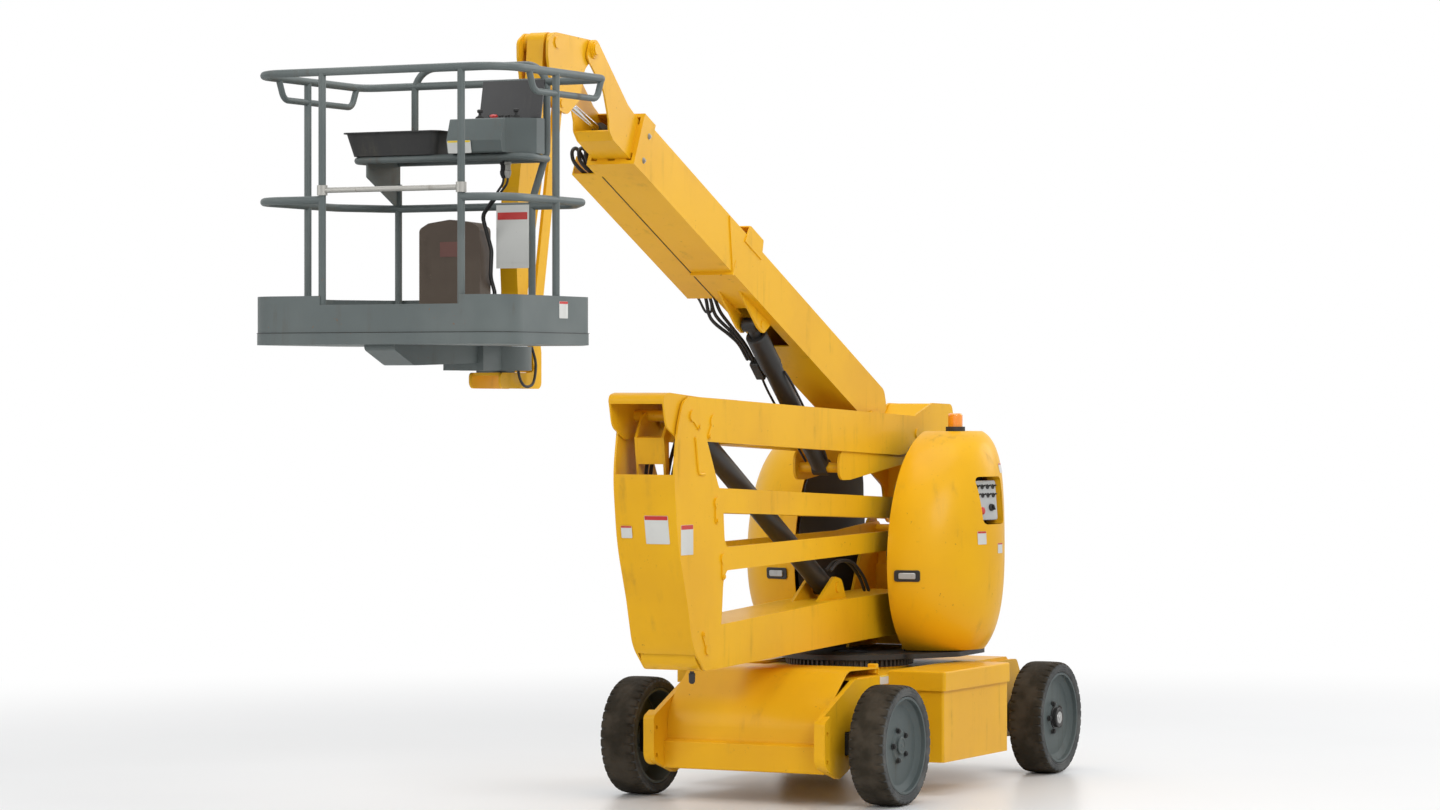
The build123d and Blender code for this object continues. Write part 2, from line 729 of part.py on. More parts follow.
def knee():
    rows = [
        (1735, 690, 60), (1850, 655, 50), (1975, 772, 200), (2033, 989, 600), (2120, 1237, 900),
        (2158, 1547, 600), (2120, 1760, 300), (2070, 1870, 60), (2000, 1896, 70), (1915, 1880, 60),
        (1833, 1692, 300), (1722, 1490, 100), (1672, 1440, 30), (1672, 1370, 30), (1660, 1230, 60),
        (1610, 1200, 30), (1610, 1120, 30), (1672, 1080, 100), (1690, 892, 300),
    ]
    solid = slab(rows, -knee_outer_y, knee_outer_y)
    cavity = [
        (1500, 600, 0), (1868, 600, 0), (1950, 760, 180), (2010, 985, 600), (2098, 1237, 900),
        (2138, 1548, 0), (2300, 1548, 0), (2300, 2000, 0), (1500, 2000, 0),
    ]
    box = solid - slab(cavity, -knee_inner_y, knee_inner_y)
    for point in (lower_arm_front, lower_tie_front, upper_tie_front, upper_arm_front):
        box += across(point, pin_radius, -knee_outer_y - 8, knee_outer_y + 8)
    # the two-legged hose bracket inside the open front, carried by the top pin
    pin_x, pin_z = upper_arm_front
    leg = [
        (pin_x - 25, pin_z + 26, 8), (pin_x + 55, pin_z + 8, 10), (pin_x + 118, pin_z - 96, 6),
        (pin_x + 95, 1540, 0), (pin_x + 77, 1300, 0), (pin_x + 45, 1300, 0), (pin_x + 65, 1540, 0),
        (pin_x + 68, pin_z - 110, 20), (pin_x - 25, pin_z - 30, 8),
    ]
    box += both(slab(leg, bracket_half_width - 12, bracket_half_width))
    sheet = [
        (pin_x + 100, pin_z - 92, 0), (pin_x + 116, pin_z - 97, 0), (pin_x + 103, pin_z - 215, 0),
        (pin_x + 93, pin_z - 215, 0),
    ]
    box += slab(sheet, 1 - bracket_half_width, bracket_half_width - 1)
    box += block(pin_x + 46, pin_x + 125, 1 - bracket_half_width, bracket_half_width - 1, 1300, 1312)
    for point, angle in knee_keepers:
        box += both(keeper(point, angle, knee_outer_y - 1, knee_outer_y + keeper_plate))
    # the bent bar on each side, below the top pin
    y = knee_outer_y + 3
    bar = [(pin_x - 30, y, pin_z - 95), (pin_x - 62, y, pin_z - 262), (pin_x - 118, y, pin_z - 262)]
    return box + both(swept_tube(bar, [24], 6))


def upper_arm():
    front, rear = upper_arm_front, upper_arm_rear
    cheek = [
        (rear[0] - 70, rear[1] - 80, 70), (-290, 1602, 0), (1820, 1692, 40), (1900, 1712, 40), (2080, 1700, 90),
        (2200, 1760, 60), (2235, 1900, 30), (2170, 1912, 40), (1880, 1892, 0), (-290, 1802, 0),
        (rear[0] - 70, rear[1] + 82, 70),
    ]
    plates = both(slab(cheek, arm_outer_y - arm_plate, arm_outer_y))
    cap = [
        (1500, 1870, 0), (1500, 1877, 0), (1880, 1892, 0), (2170, 1912, 40), (2235, 1900, 30),
        (2226, 1862, 0), (2218, 1862, 0), (2222, 1886, 20), (2168, 1898, 36), (1880, 1884, 0),
    ]
    arm = plates + slab(cap, -arm_outer_y + 1, arm_outer_y - 1)
    floor = [(470, 1636, 0), (1330, 1672, 0), (1330, 1680, 0), (470, 1644, 0)]
    arm += slab(floor, -arm_outer_y + 1, arm_outer_y - 1)
    arm -= block(400, 1230, -66, 66, 1600, 1700)
    arm = bored(arm, front, rear)
    arm += both(across(riser_cylinder_high, pin_radius + 10, arm_outer_y - arm_plate, arm_outer_y + 6))
    return arm + both(keeper(riser_cylinder_high, -54.0, arm_outer_y - 1, arm_outer_y + keeper_plate))


def upper_mast():
    rear_r, rear_t = upper_arm_rear, upper_tie_rear
    rows = [
        (rear_t[0] - 60, rear_t[1] - 60, 58), (rear_t[0] + 60, rear_t[1] - 60, 58), (-640, 1440, 40),
        (-400, 1560, 60), (lift_pivot[0] - 60, lift_pivot[1] - 60, 50), (lift_pivot[0] + 60, lift_pivot[1] - 60, 50),
        (lift_pivot[0] + 60, lift_pivot[1] + 60, 50), (boom_pivot[0] + 60, boom_pivot[1] + 58, 55),
        (boom_pivot[0] - 60, boom_pivot[1] + 58, 55), (-250, 1700, 60), (-400, 1700, 60), (-520, 1800, 60),
        (-720, 1858, 30), (-960, 1852, 40), (-985, 1780, 40), (-900, 1600, 60),
    ]
    inner = boom_half_width + side_gap
    outer = arm_outer_y - arm_plate - side_gap
    mast = both(slab(rows, inner, outer))
    head = [(-560, 1730, 20), (-720, 1856, 30), (-955, 1850, 30), (-975, 1785, 30), (-900, 1640, 20), (-700, 1560, 20)]
    mast += slab(head, -inner - 1, inner + 1)
    mast += slab([(-820, 1330, 0), (-700, 1330, 0), (-700, 1600, 0), (-820, 1600, 0)], -inner - 1, inner + 1)
    for point in (rear_r, rear_t):
        mast += both(across(point, pin_radius, inner, arm_outer_y + 6))
    mast += across(boom_pivot, pin_radius, -outer, outer)
    mast += across(lift_pivot, pin_radius, -outer, outer)
    return mast


# ---- Cylinders: a barrel pinned at its foot, and a rod that carries its own pin at its eye.
# The eye is where each closed linkage is opened, so that pin ends a side gap short of its lugs.
def cylinder_barrel(foot, eye, pin, radius, rod, length):
    frame = along(foot, eye)
    body = round_bar(frame, pin, length, radius)
    body += round_bar(frame, length - gland_length, length, radius + 4)
    body += across(foot, pin + 14, -radius + 8, radius - 8)
    body -= round_bar(frame, pin + 34, length - gland_length, radius - 10)
    body -= round_bar(frame, pin + 34, length + 1, rod + fit_gap)
    return body - across(foot, pin + fit_gap, -400, 400)


def cylinder_rod(foot, eye, pin, rod, start, lug_y):
    frame = along(foot, eye)
    body = round_bar(frame, start, distance(foot, eye) - 10, rod)
    body += across(eye, pin + 16, -lug_y + 14, lug_y - 14)
    return body + across(eye, pin, -lug_y + side_gap, lug_y - side_gap)


def riser_barrel():
    foot, eye = riser_cylinder_low, riser_cylinder_high
    return cylinder_barrel(foot, eye, pin_radius, 50, riser_rod_radius, 1500)


def riser_rod():
    foot, eye = riser_cylinder_low, riser_cylinder_high
    return cylinder_rod(foot, eye, pin_radius, riser_rod_radius, 320, arm_outer_y - arm_plate)


def lift_barrel():
    return cylinder_barrel(lift_pivot, lift_lug, pin_radius, 45, lift_rod_radius, 765)


def lift_rod():
    return cylinder_rod(lift_pivot, lift_lug, lift_pin_radius, lift_rod_radius, 245, lug_inner_y)


def slave_barrel():
    # The cylinder that keeps the jib's head level; its foot is in the boom's inner section.
    return cylinder_barrel(slave_foot, slave_eye, slave_pin_radius, 32, slave_rod_radius, 430)


def slave_rod():
    return cylinder_rod(slave_foot, slave_eye, slave_pin_radius, slave_rod_radius, 262, head_half_width - 12)


# ---- Boom
def boom_outer():
    top = boom_bottom + boom_depth
    rows = [
        (boom_rear, boom_bottom + 60, 40), (boom_rear + 80, boom_bottom, 40), (boom_front, boom_bottom, 0),
        (boom_front, top, 0), (boom_rear + 60, top, 60), (boom_rear, top - 60, 60),
    ]
    tube = slab(rows, -boom_half_width, boom_half_width, boom_frame)
    inner = [
        (boom_rear - 20, boom_bottom - 10, 0), (180, boom_bottom - 10, 0), (180, boom_bottom + boom_wall, 0),
        (boom_front + 10, boom_bottom + boom_wall, 0), (boom_front + 10, top - boom_wall, 0),
        (boom_rear + 60, top - boom_wall, 60), (boom_rear + 6, top - 62, 60), (boom_rear + 6, boom_bottom + 90, 0),
        (boom_rear - 20, boom_bottom + 90, 0),
    ]
    tube -= slab(inner, -boom_half_width + boom_wall, boom_half_width - boom_wall, boom_frame)
    collar = [(boom_front - 110, boom_bottom - 12, 0), (boom_front, boom_bottom - 12, 0), (boom_front, top + 12, 0), (boom_front - 110, top + 12, 0)]
    bore = [(boom_front - 111, boom_bottom + 1, 0), (boom_front + 1, boom_bottom + 1, 0), (boom_front + 1, top - 1, 0), (boom_front - 111, top - 1, 0)]
    ring = slab(collar, -boom_half_width - 12, boom_half_width + 12, boom_frame)
    ring -= slab(bore, -boom_half_width + 1, boom_half_width - 1, boom_frame)
    tube += ring
    reach = lift_pin_radius + 14
    lug = [
        (lift_lug_along - 80, boom_bottom + 1, 0), (lift_lug_along - reach, lift_lug_across - reach, reach - 2),
        (lift_lug_along + reach, lift_lug_across - reach, reach - 2), (lift_lug_along + 280, boom_bottom + 1, 0),
    ]
    tube += both(slab(lug, lug_inner_y, lug_inner_y + lug_plate, boom_frame))
    # the lift cylinder's end comes up through this slot when the boom is low
    for low, high, half in ((920, lift_lug_along - 90, 56), (950, 1330, 42)):
        slot = [(low, boom_bottom - 1, 0), (high, boom_bottom - 1, 0), (high, 60, 0), (low, 60, 0)]
        tube -= slab(slot, -half, half, boom_frame)
    # wear pads at the front end, round the inner section
    front, rear, lap = boom_front - 1, boom_front - pad_length, boom_wall + 1
    half, depth = boom_half_width - lap, fly_clearance - seat_gap + 1
    for low, high in ((boom_bottom + lap - 2, boom_bottom + lap - 2 + depth), (top - lap + 2 - depth, top - lap + 2)):
        pad = [(rear, low, 0), (front, low, 0), (front, high, 0), (rear, high, 0)]
        tube += both(slab(pad, 18, 72, boom_frame))
    pad = [(rear, 10, 0), (front, 10, 0), (front, 150, 0), (rear, 150, 0)]
    tube += both(slab(pad, half + 2 - depth, half + 2, boom_frame))
    tube = tube - across(boom_pivot, pin_radius + fit_gap, -400, 400)
    # the doubler where the section changes: a flange under the tube and a gusset on its left side
    step = doubler_along
    low = boom_bottom
    flange = [(step, low - 14, 0), (step + 12, low - 14, 0), (step + 12, low + 1, 0), (step, low + 1, 0)]
    tube += slab(flange, -boom_half_width, boom_half_width + 8, boom_frame)
    flange = [(step, low, 0), (step + 12, low, 0), (step + 12, low + 60, 0), (step, low + 60, 0)]
    tube += slab(flange, boom_half_width - 1, boom_half_width + 8, boom_frame)
    gusset = [(step, boom_bottom, 0), (step + 12, boom_bottom, 0), (step + 150, top - 8, 0), (step, top - 8, 0)]
    tube += slab(gusset, boom_half_width - 1, boom_half_width + 6, boom_frame)
    # the bent hose guide that stands on the top
    low, high = step - 230, step - 60
    guide = [(low, top - 40, 0), (low + 20, top + 50, 8), (high, top + 50, 8), (high + 20, top - 40, 0)]
    tube += slab(guide, boom_half_width - 1, boom_half_width + 5, boom_frame)
    roof = [(low + 22, top + 44, 0), (high - 2, top + 44, 0), (high - 2, top + 50, 0), (low + 22, top + 50, 0)]
    tube += slab(roof, 30, boom_half_width, boom_frame)
    wall = [(low + 22, top - 1, 0), (high - 2, top - 1, 0), (high - 2, top + 50, 0), (low + 22, top + 50, 0)]
    tube += slab(wall, 30, 36, boom_frame)
    return tube + both(across(lift_lug, lift_pin_radius, lug_inner_y + 1, lug_inner_y + lug_plate + 4))


def boom_fly():
    gap = boom_wall + fly_clearance
    half = boom_half_width - gap
    low, high = boom_bottom + gap, boom_bottom + boom_depth - gap
    body = [(fly_rear, low, 0), (boom_front + 60, low, 0), (boom_front + 60, high, 0), (fly_rear, high, 0)]
    tube = slab(body, -half, half, boom_frame)
    hollow = [(fly_rear - 10, low + fly_wall, 0), (boom_front + 80, low + fly_wall, 0), (boom_front + 80, high - fly_wall, 0), (fly_rear - 10, high - fly_wall, 0)]
    tube -= slab(hollow, -half + fly_wall, half - fly_wall, boom_frame)
    for edge, other in ((low, low - fly_clearance + seat_gap), (high, high + fly_clearance - seat_gap)):
        low_side, high_side = sorted((edge + (1 if edge == low else -1), other))
        pad = [
            (fly_rear + 5, low_side, 0), (fly_rear + 65, low_side, 0), (fly_rear + 65, high_side, 0),
            (fly_rear + 5, high_side, 0),
        ]
        tube += both(slab(pad, 18, 72, boom_frame))
    nose = [
        (boom_front + 14, low, 0), (boom_front + 165, low, 20), (boom_front + 215, low + 20, 30), (boom_front + 235, low + 60, 20),
        (boom_front + 330, high - 40, 60), (tip_along + 40, tip_across - 60, 30), (tip_along + 42, tip_across + 36, 36), (tip_along - 46, tip_across + 40, 36),
        (boom_front + 110, high + 10, 60), (boom_front + 14, high, 0),
    ]
    tube += both(slab(nose, half - 8, half, boom_frame))
    sill = [
        (boom_front + 14, low, 0), (boom_front + 160, low, 0), (boom_front + 210, low + 20, 0),
        (boom_front + 207, low + 28, 0), (boom_front + 158, low + 8, 0), (boom_front + 14, low + 8, 0),
    ]
    tube += slab(sill, -half, half, boom_frame)
    for radius, reach in ((40, 8), (33, 14)):
        tube += both(across(tip_pin, radius, half - 2, half + reach))
    tube += across(tip_pin, pin_radius, -half - 20, half + 20)
    return tube + across(slave_foot, slave_pin_radius, -half + fly_wall - 1, half - fly_wall + 1)


def cable_tray():
    rows = [(1430, -30, 0), (boom_front - 112, -30, 0), (boom_front - 112, 62, 0), (1430, 62, 0)]
    outer = slab(rows, -250, -boom_half_width - seat_gap, boom_frame)
    inner = slab([(1400, -25, 0), (2700, -25, 0), (2700, 80, 0), (1400, 80, 0)], -245, -boom_half_width - 5, boom_frame)
    return outer - inner


# ---- Jib
def jib_head():
    rows = [
        (tip_pin[0] - 38, tip_pin[1] + 10, 30), (tip_pin[0], tip_pin[1] + 40, 30), (3097, 3438, 40), (3160, 3400, 40),
        (3158, 3330, 40), (3110, 3120, 40), (2990, 3095, 40), (2880, 3165, 40), (2835, 3300, 60), (tip_pin[0] - 30, tip_pin[1] - 30, 24),
    ]
    half = head_half_width
    plates = both(slab(rows, half - 12, half))
    roof = [(2830, 3345, 0), (2960, 3395, 0), (2960, 3405, 0), (2830, 3355, 0)]
    plates += slab(roof, 1 - half, half - 1)
    plates = plates - across(tip_pin, pin_radius + fit_gap, -400, 400)
    plates += across(jib_pin, pin_radius, -half - 6, half + 6)
    plates += both(across(jib_pin, 42, jib_half_width + side_gap, half - 1))
    plates += across(jib_tie_top, tie_pin_radius, -half - 6, half + 6)
    # lugs for the levelling cylinder's eye
    lug = [
        (slave_eye[0] - 34, slave_eye[1] - 30, 28), (slave_eye[0] + 60, slave_eye[1] - 60, 0),
        (slave_eye[0] + 60, slave_eye[1] + 60, 0), (slave_eye[0] - 34, slave_eye[1] + 30, 28),
    ]
    return plates + both(slab(lug, half - 12, half))


def jib_arm():
    top, foot = jib_pin, jib_foot
    rows = [
        (top[0] - 46, top[1] + 44, 42), (top[0] + 46, top[1] + 44, 42), (3150, 3240, 60), (3317, 2920, 200),
        (3345, 2773, 0), (3370, 2550, 100), (foot[0] + 44, 2340, 60), (foot[0] + 42, foot[1] - 42, 40),
        (foot[0] - 42, foot[1] - 42, 40), (foot[0] - 42, 2340, 60), (3214, 2555, 100), (3153, 2780, 100),
        (3115, 2940, 100), (3050, 3300, 60),
    ]
    arm = slab(rows, -jib_half_width, jib_half_width)
    return bored(arm, top, foot)


def jib_tie():
    frame = along(jib_tie_foot, jib_tie_top)
    length = distance(jib_tie_foot, jib_tie_top)
    rows = [(-34, -34, 32), (length + 34, -34, 32), (length + 34, 34, 32), (-34, 34, 32)]
    bar = slab(rows, jib_half_width + 6, jib_half_width + 20, frame)
    for point in (jib_tie_top, jib_tie_foot):
        bar -= across(point, tie_pin_radius + fit_gap, -400, 400)
    return bar


def platform_bracket():
    foot, tie_foot = jib_foot, jib_tie_foot
    top = rotator_bottom - seat_gap
    rows = [
        (foot[0] - 44, foot[1] + 42, 40), (foot[0] + 46, foot[1] + 42, 40), (foot[0] + 46, foot[1] - 50, 40),
        (3285, 2160, 40), (3285, top, 20), (3560, top, 20), (3560, 1930, 30), (tie_foot[0] - 50, 1928, 30),
        (tie_foot[0] - 50, 2080, 40),
    ]
    half = jib_half_width + 26
    plates = both(slab(rows, half, half + 10))
    plates += slab([(3300, top - 12, 0), (3545, top - 12, 0), (3545, top, 0), (3300, top, 0)], -half - 1, half + 1)
    plates += across(foot, pin_radius, -half - 14, half + 14)
    plates += across(tie_foot, tie_pin_radius, -half - 14, half + 14)
    return plates


# ---- Basket
def basket_plan(inset, chamfered=True):
    front, rear, half = basket_front - inset, basket_rear + inset, basket_half_width - inset
    back, side = basket_rear_chamfer
    if not chamfered:
        back, side = 40.0, 40.0
    radius = basket_front_radius - inset
    return [
        (rear, -half + side, 60), (rear + back, -half, 60), (front, -half, radius), (front, half, radius),
        (rear + back, half, 60), (rear, half - side, 60),
    ]


def rail_loop(z, chamfered):
    # A closed tube loop; it is made as two halves that share their end planes.
    inset = rail_radius + toe_sheet
    points = [(row[0], row[1], z) for row in basket_plan(inset, chamfered)]
    radii = [row[2] + 20 for row in basket_plan(inset, chamfered)]
    front, rear = basket_front - inset, basket_rear + inset
    right = [(rear, 0, z), *points[:3], (front, 0, z)]
    left = [(front, 0, z), *points[3:], (rear, 0, z)]
    return swept_tube(right, radii[:3], rail_radius) + swept_tube(left, radii[3:], rail_radius)


def basket_floor():
    tray = flat(basket_plan(-2), floor_bottom, floor_bottom + floor_lip)
    tray += flat(basket_plan(0), floor_bottom + floor_lip, toe_board_top)
    tray -= flat(basket_plan(toe_sheet), floor_bottom + 6, toe_board_top + 1)
    low, high = entry
    tray -= block(basket_front - 60, basket_front + 1, low, high, toe_board_entry, toe_board_top + 1)
    return tray


def hand_guard(side):
    # A bent bar hung under the rear end of a side rail.
    y = side * (basket_half_width - rail_radius - toe_sheet)
    z = top_rail - rail_radius
    drop = z - 85
    points = [(4220, y, z), (4180, y, drop), (3660, y, drop), (3620, y, z)]
    return swept_tube(points, [50, 50], rail_radius - 3)


def basket_rails():
    inset = rail_radius + toe_sheet
    base = floor_bottom + 6 + seat_gap
    top = top_rail - rail_radius
    front, rear, half = basket_front - inset, basket_rear + inset, basket_half_width - inset
    radius = post_radius
    rails = rail_loop(top, False)
    rails += rail_loop(mid_rail, True)
    low, high = entry
    rails -= block(front - 60, front + 60, low, high, mid_rail - 40, mid_rail + 40)
    for y in entry:
        rails += upright(front, y, base, top, radius)
    for y in (-half, half):
        rails += upright(side_post_x, y, base, top, radius)
    rails += upright(rear, rear_post_y, base, shelf_z - 90, radius)
    for side in (1, -1):
        rails += hand_guard(side)
    # the hoop behind the controls, with one leg bent down to the floor
    left_y, right_y = hoop_posts
    hoop = [
        (rear, left_y, shelf_z), (rear, left_y, hoop_top), (rear, right_y, hoop_top), (rear, right_y, shelf_z + 30),
        (rear, right_y - 70, mid_rail + 20), (rear, right_y - 70, base),
    ]
    rails += swept_tube(hoop, [100, 100, 70, 60], radius)
    # the shelf tube, out from the hoop and along its front
    left_side, right_side = shelf_sides
    shelf = [
        (rear, left_side, shelf_z), (shelf_front, left_side, shelf_z), (shelf_front, right_side, shelf_z),
        (rear, right_y, shelf_z),
    ]
    rails += swept_tube(shelf, [60, 90], radius)
    rails += swept_tube([(rear, left_side, shelf_z), (rear, right_y, shelf_z)], [], radius)
    gusset = [
        (rear - 8, shelf_z - 180, 0), (rear + 30, shelf_z - 180, 0), (shelf_front, shelf_z - 70, 0),
        (shelf_front, shelf_z, 0), (rear - 8, shelf_z, 0),
    ]
    rails += slab(gusset, rear_post_y - 4, rear_post_y + 4)
    return rails


def rotator():
    low, high = rotator_bottom + 8, floor_bottom - seat_gap
    body = upright(rotator_x, 0, low, high, rotator_radius)
    body += block(rotator_x, rotator_front, -95, 95, low, high)
    beam = [(3700, high - 70, 0), (4240, high - 82, 60), (4392, high - 20, 20), (4392, high, 0), (3700, high, 0)]
    body += slab(beam, -70, 70)
    return body + upright(rotator_x, 0, rotator_bottom, rotator_bottom + 14, 80)


def console():
    base = shelf_z + post_radius + seat_gap
    box = [
        (3650, base, 6), (3870, base, 10), (3880, base + 50, 10), (3850, base + 140, 10), (3650, base + 146, 6),
    ]
    body = slab(box, 5, 335)
    wing = flat([(3840, 260, 0), (3900, 260, 0), (3900, 345, 0), (3700, 345, 0)], base - 1, base + 200)
    body -= wing
    for row in cable_rows:
        body += upright(basket_rear + 160, row[0], gland_bottom, base + 1, gland_radius)
    return body


def console_cover():
    low = shelf_z + post_radius + 2 * seat_gap + 146
    return slab([(3668, low, 2), (3674, low, 2), (3640, low + 160, 2), (3634, low + 160, 2)], 40, 330)


def tool_tray():
    low = shelf_z + post_radius + seat_gap
    base = Plane.XY.offset(low)
    rim = Plane.XY.offset(low + 98)
    outer = loft([base * Pos(3726, -275) * RectangleRounded(220, 400, 30), rim * Pos(3726, -280) * RectangleRounded(260, 444, 34)])
    inner = loft([
        Plane.XY.offset(low + 4) * Pos(3726, -275) * RectangleRounded(212, 392, 26),
        Plane.XY.offset(low + 99) * Pos(3726, -280) * RectangleRounded(253, 437, 30),
    ])
    lip = Plane.XY.offset(low + 93) * extrude(Pos(3726, -280) * RectangleRounded(280, 464, 40), 5)
    return outer + lip - inner


def document_box():
    # A box open at its top edge, seated against the toe board's inside.
    low_y, high_y, low_z, high_z = box_place
    middle = (low_y + high_y) / 2
    wall = 4.0

    def face(inset):
        return [
            (low_y + inset, low_z + inset, 8), (high_y - inset, low_z + inset, 8),
            (high_y - inset, high_z - 38 - inset, 24), (high_y - 37, high_z - 14 - inset, 40),
            (middle, high_z - inset, 0), (low_y + 43, high_z - 14 - inset, 40),
            (low_y + inset, high_z - 38 - inset, 24),
        ]

    plane = Plane((basket_rear + toe_sheet + seat_gap, 0, 0), x_dir=(0, 1, 0), z_dir=(1, 0, 0))
    body = extrude(plane * outline(face(0)), box_depth)
    return body - extrude(plane.offset(wall) * outline(face(wall)), box_depth - 2 * wall)


def control_cables():
    # The cables from the console, down between the document box and the sign and over the toe board.
    cables = None
    for top_y, ahead, behind in cable_rows:
        x, y = basket_rear, cable_lane
        points = [
            (x + 160, top_y, gland_bottom - seat_gap), (x + 160, top_y, 2770), (x + 77 + ahead, y, 2640),
            (x + ahead, y, 2500), (x + ahead + 2, y - 4, 2390), (x - behind, 30, 2330),
            (x - behind, 26, floor_bottom + seat_gap),
        ]
        cable = swept_tube(points, [40, 60, 60, 50, 22], cable_radius)
        cables = cable if cables is None else cables + cable
    return cables


def rail_sign():
    x = basket_rear + 2 * rail_radius + toe_sheet + seat_gap
    return block(x, x + 3, 72, 226, 2425, mid_rail + 6)


def entry_bar():
    x = basket_front - rail_radius - toe_sheet
    low, high = entry
    z = mid_rail + rail_radius + 22
    bar = swept_tube([(x, low + 10, z), (x, high - 10, z)], [], 11)
    for y in entry:
        bar += upright(x, y, z - 20, z + 20, rail_radius + 5)
        bar -= upright(x, y, z - 40, z + 40, post_radius + fit_gap)
    return bar


parts["chassis_frame"] = chassis_frame()
parts["nose_cover"] = nose_cover()
for side, word in ((1, "left"), (-1, "right")):
    parts[f"battery_box_{word}"] = battery_box(side)
    parts[f"battery_lid_{word}"] = battery_lid(side)
    parts[f"knuckle_{word}"] = knuckle(side)
    parts[f"tyre_front_{word}"] = tyre(axle_x, side)
    parts[f"tyre_rear_{word}"] = tyre(-axle_x, side)
    parts[f"rim_front_{word}"] = rim(axle_x, side)
    parts[f"rim_rear_{word}"] = rim(-axle_x, side) 
    parts[f"hood_{word}"] = hood(side)
    parts[f"hood_panel_{word}"] = hood_panel(side)
parts["front_axle"] = front_axle()
parts["rear_axle"] = rear_axle()
parts["slew_ring"] = slew_ring()
parts["turntable_base"] = turntable_base()
parts["turntable_mast"] = turntable_mast()
parts["counterweight"] = counterweight()
parts["control_panel"] = control_panel()
parts["beacon"] = beacon()
parts["beacon_lens"] = beacon_lens()
parts["lower_arm"] = lower_arm()
parts["lower_tie"] = lower_tie()
parts["knee"] = knee()
parts["upper_arm"] = upper_arm()
parts["upper_tie"] = upper_tie()
parts["upper_mast"] = upper_mast()
parts["riser_barrel"] = riser_barrel()
parts["riser_rod"] = riser_rod()
parts["lift_barrel"] = lift_barrel()
parts["lift_rod"] = lift_rod()
parts["slave_barrel"] = slave_barrel()
parts["slave_rod"] = slave_rod()
parts["boom_outer"] = boom_outer()
parts["boom_fly"] = boom_fly()
parts["cable_tray"] = cable_tray()
parts["jib_head"] = jib_head()
parts["jib_arm"] = jib_arm()
parts["jib_tie"] = jib_tie()
parts["platform_bracket"] = platform_bracket()
parts["basket_floor"] = basket_floor()
parts["basket_rails"] = basket_rails()
parts["rotator"] = rotator()
parts["console"] = console()
parts["console_cover"] = console_cover()
parts["tool_tray"] = tool_tray()
parts["document_box"] = document_box()
parts["rail_sign"] = rail_sign()
parts["control_cables"] = control_cables()
parts["entry_bar"] = entry_bar()

os.makedirs("parts", exist_ok=True)
for name, shape in parts.items():
    export_step(shape, f"parts/{name}.step")
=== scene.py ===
import json

import bmesh
import bpy
import numpy as np
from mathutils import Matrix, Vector


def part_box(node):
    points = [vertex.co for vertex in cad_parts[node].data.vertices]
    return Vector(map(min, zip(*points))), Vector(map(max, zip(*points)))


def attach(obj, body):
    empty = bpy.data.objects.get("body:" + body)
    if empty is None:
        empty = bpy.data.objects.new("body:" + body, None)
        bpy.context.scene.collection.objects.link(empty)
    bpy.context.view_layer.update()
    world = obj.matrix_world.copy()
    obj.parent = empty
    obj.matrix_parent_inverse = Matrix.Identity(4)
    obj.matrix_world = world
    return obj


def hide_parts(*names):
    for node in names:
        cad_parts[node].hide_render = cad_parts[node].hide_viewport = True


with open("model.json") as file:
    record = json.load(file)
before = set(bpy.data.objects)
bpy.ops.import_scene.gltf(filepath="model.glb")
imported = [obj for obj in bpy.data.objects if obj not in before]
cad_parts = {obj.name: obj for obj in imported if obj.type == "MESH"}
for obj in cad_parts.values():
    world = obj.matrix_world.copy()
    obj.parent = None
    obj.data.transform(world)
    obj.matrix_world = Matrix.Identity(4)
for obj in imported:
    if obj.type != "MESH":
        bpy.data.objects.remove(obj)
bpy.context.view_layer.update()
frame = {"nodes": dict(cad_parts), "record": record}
nodes = frame["nodes"]
scene = bpy.context.scene
print("frame loaded:", len(nodes), "nodes")


# camera, lamps and floor
cameraLook = dict(place=(18.611, 8.721, 1.924), forward=(-0.8920, -0.4521, -0.0036), lens=104.86)
lampLook = dict(
    rows=(
        # name, place, aim, size, watts
        ("keyLamp", (9.0, 9.5, 8.5), (1.6, 0.0, 1.4), 6.0, 760.0),
        ("fillLamp", (12.0, -7.0, 5.0), (1.6, 0.0, 1.4), 7.0, 300.0),
        ("topLamp", (1.5, 0.0, 9.5), (1.5, 0.0, 0.0), 8.0, 360.0),
        ("backLamp", (-7.0, 5.0, 6.0), (0.8, 0.0, 1.6), 5.0, 260.0),
    ),
    worldLight=0.46,
)
floorLook = dict(half=60.0, roughness=0.32, noise=0.7, grey=(0.80, 0.84), fade=(3.2, 9.0))


def aim(thing, place, target):
    thing.location = place
    thing.rotation_euler = (Vector(target) - Vector(place)).to_track_quat("-Z", "Y").to_euler()


def makeCamera(look):
    data = bpy.data.cameras.new("viewCamera")
    data.lens, data.sensor_width, data.clip_end = look["lens"], 36.0, 200.0
    camera = bpy.data.objects.new("viewCamera", data)
    scene.collection.objects.link(camera)
    place = Vector(look["place"])
    aim(camera, place, place + Vector(look["forward"]))
    scene.camera = camera


def makeLamps(look):
    for name, place, target, size, watts in look["rows"]:
        data = bpy.data.lights.new(name, "AREA")
        data.size, data.energy, data.shape = size, watts, "DISK"
        lamp = bpy.data.objects.new(name, data)
        scene.collection.objects.link(lamp)
        aim(lamp, place, target)


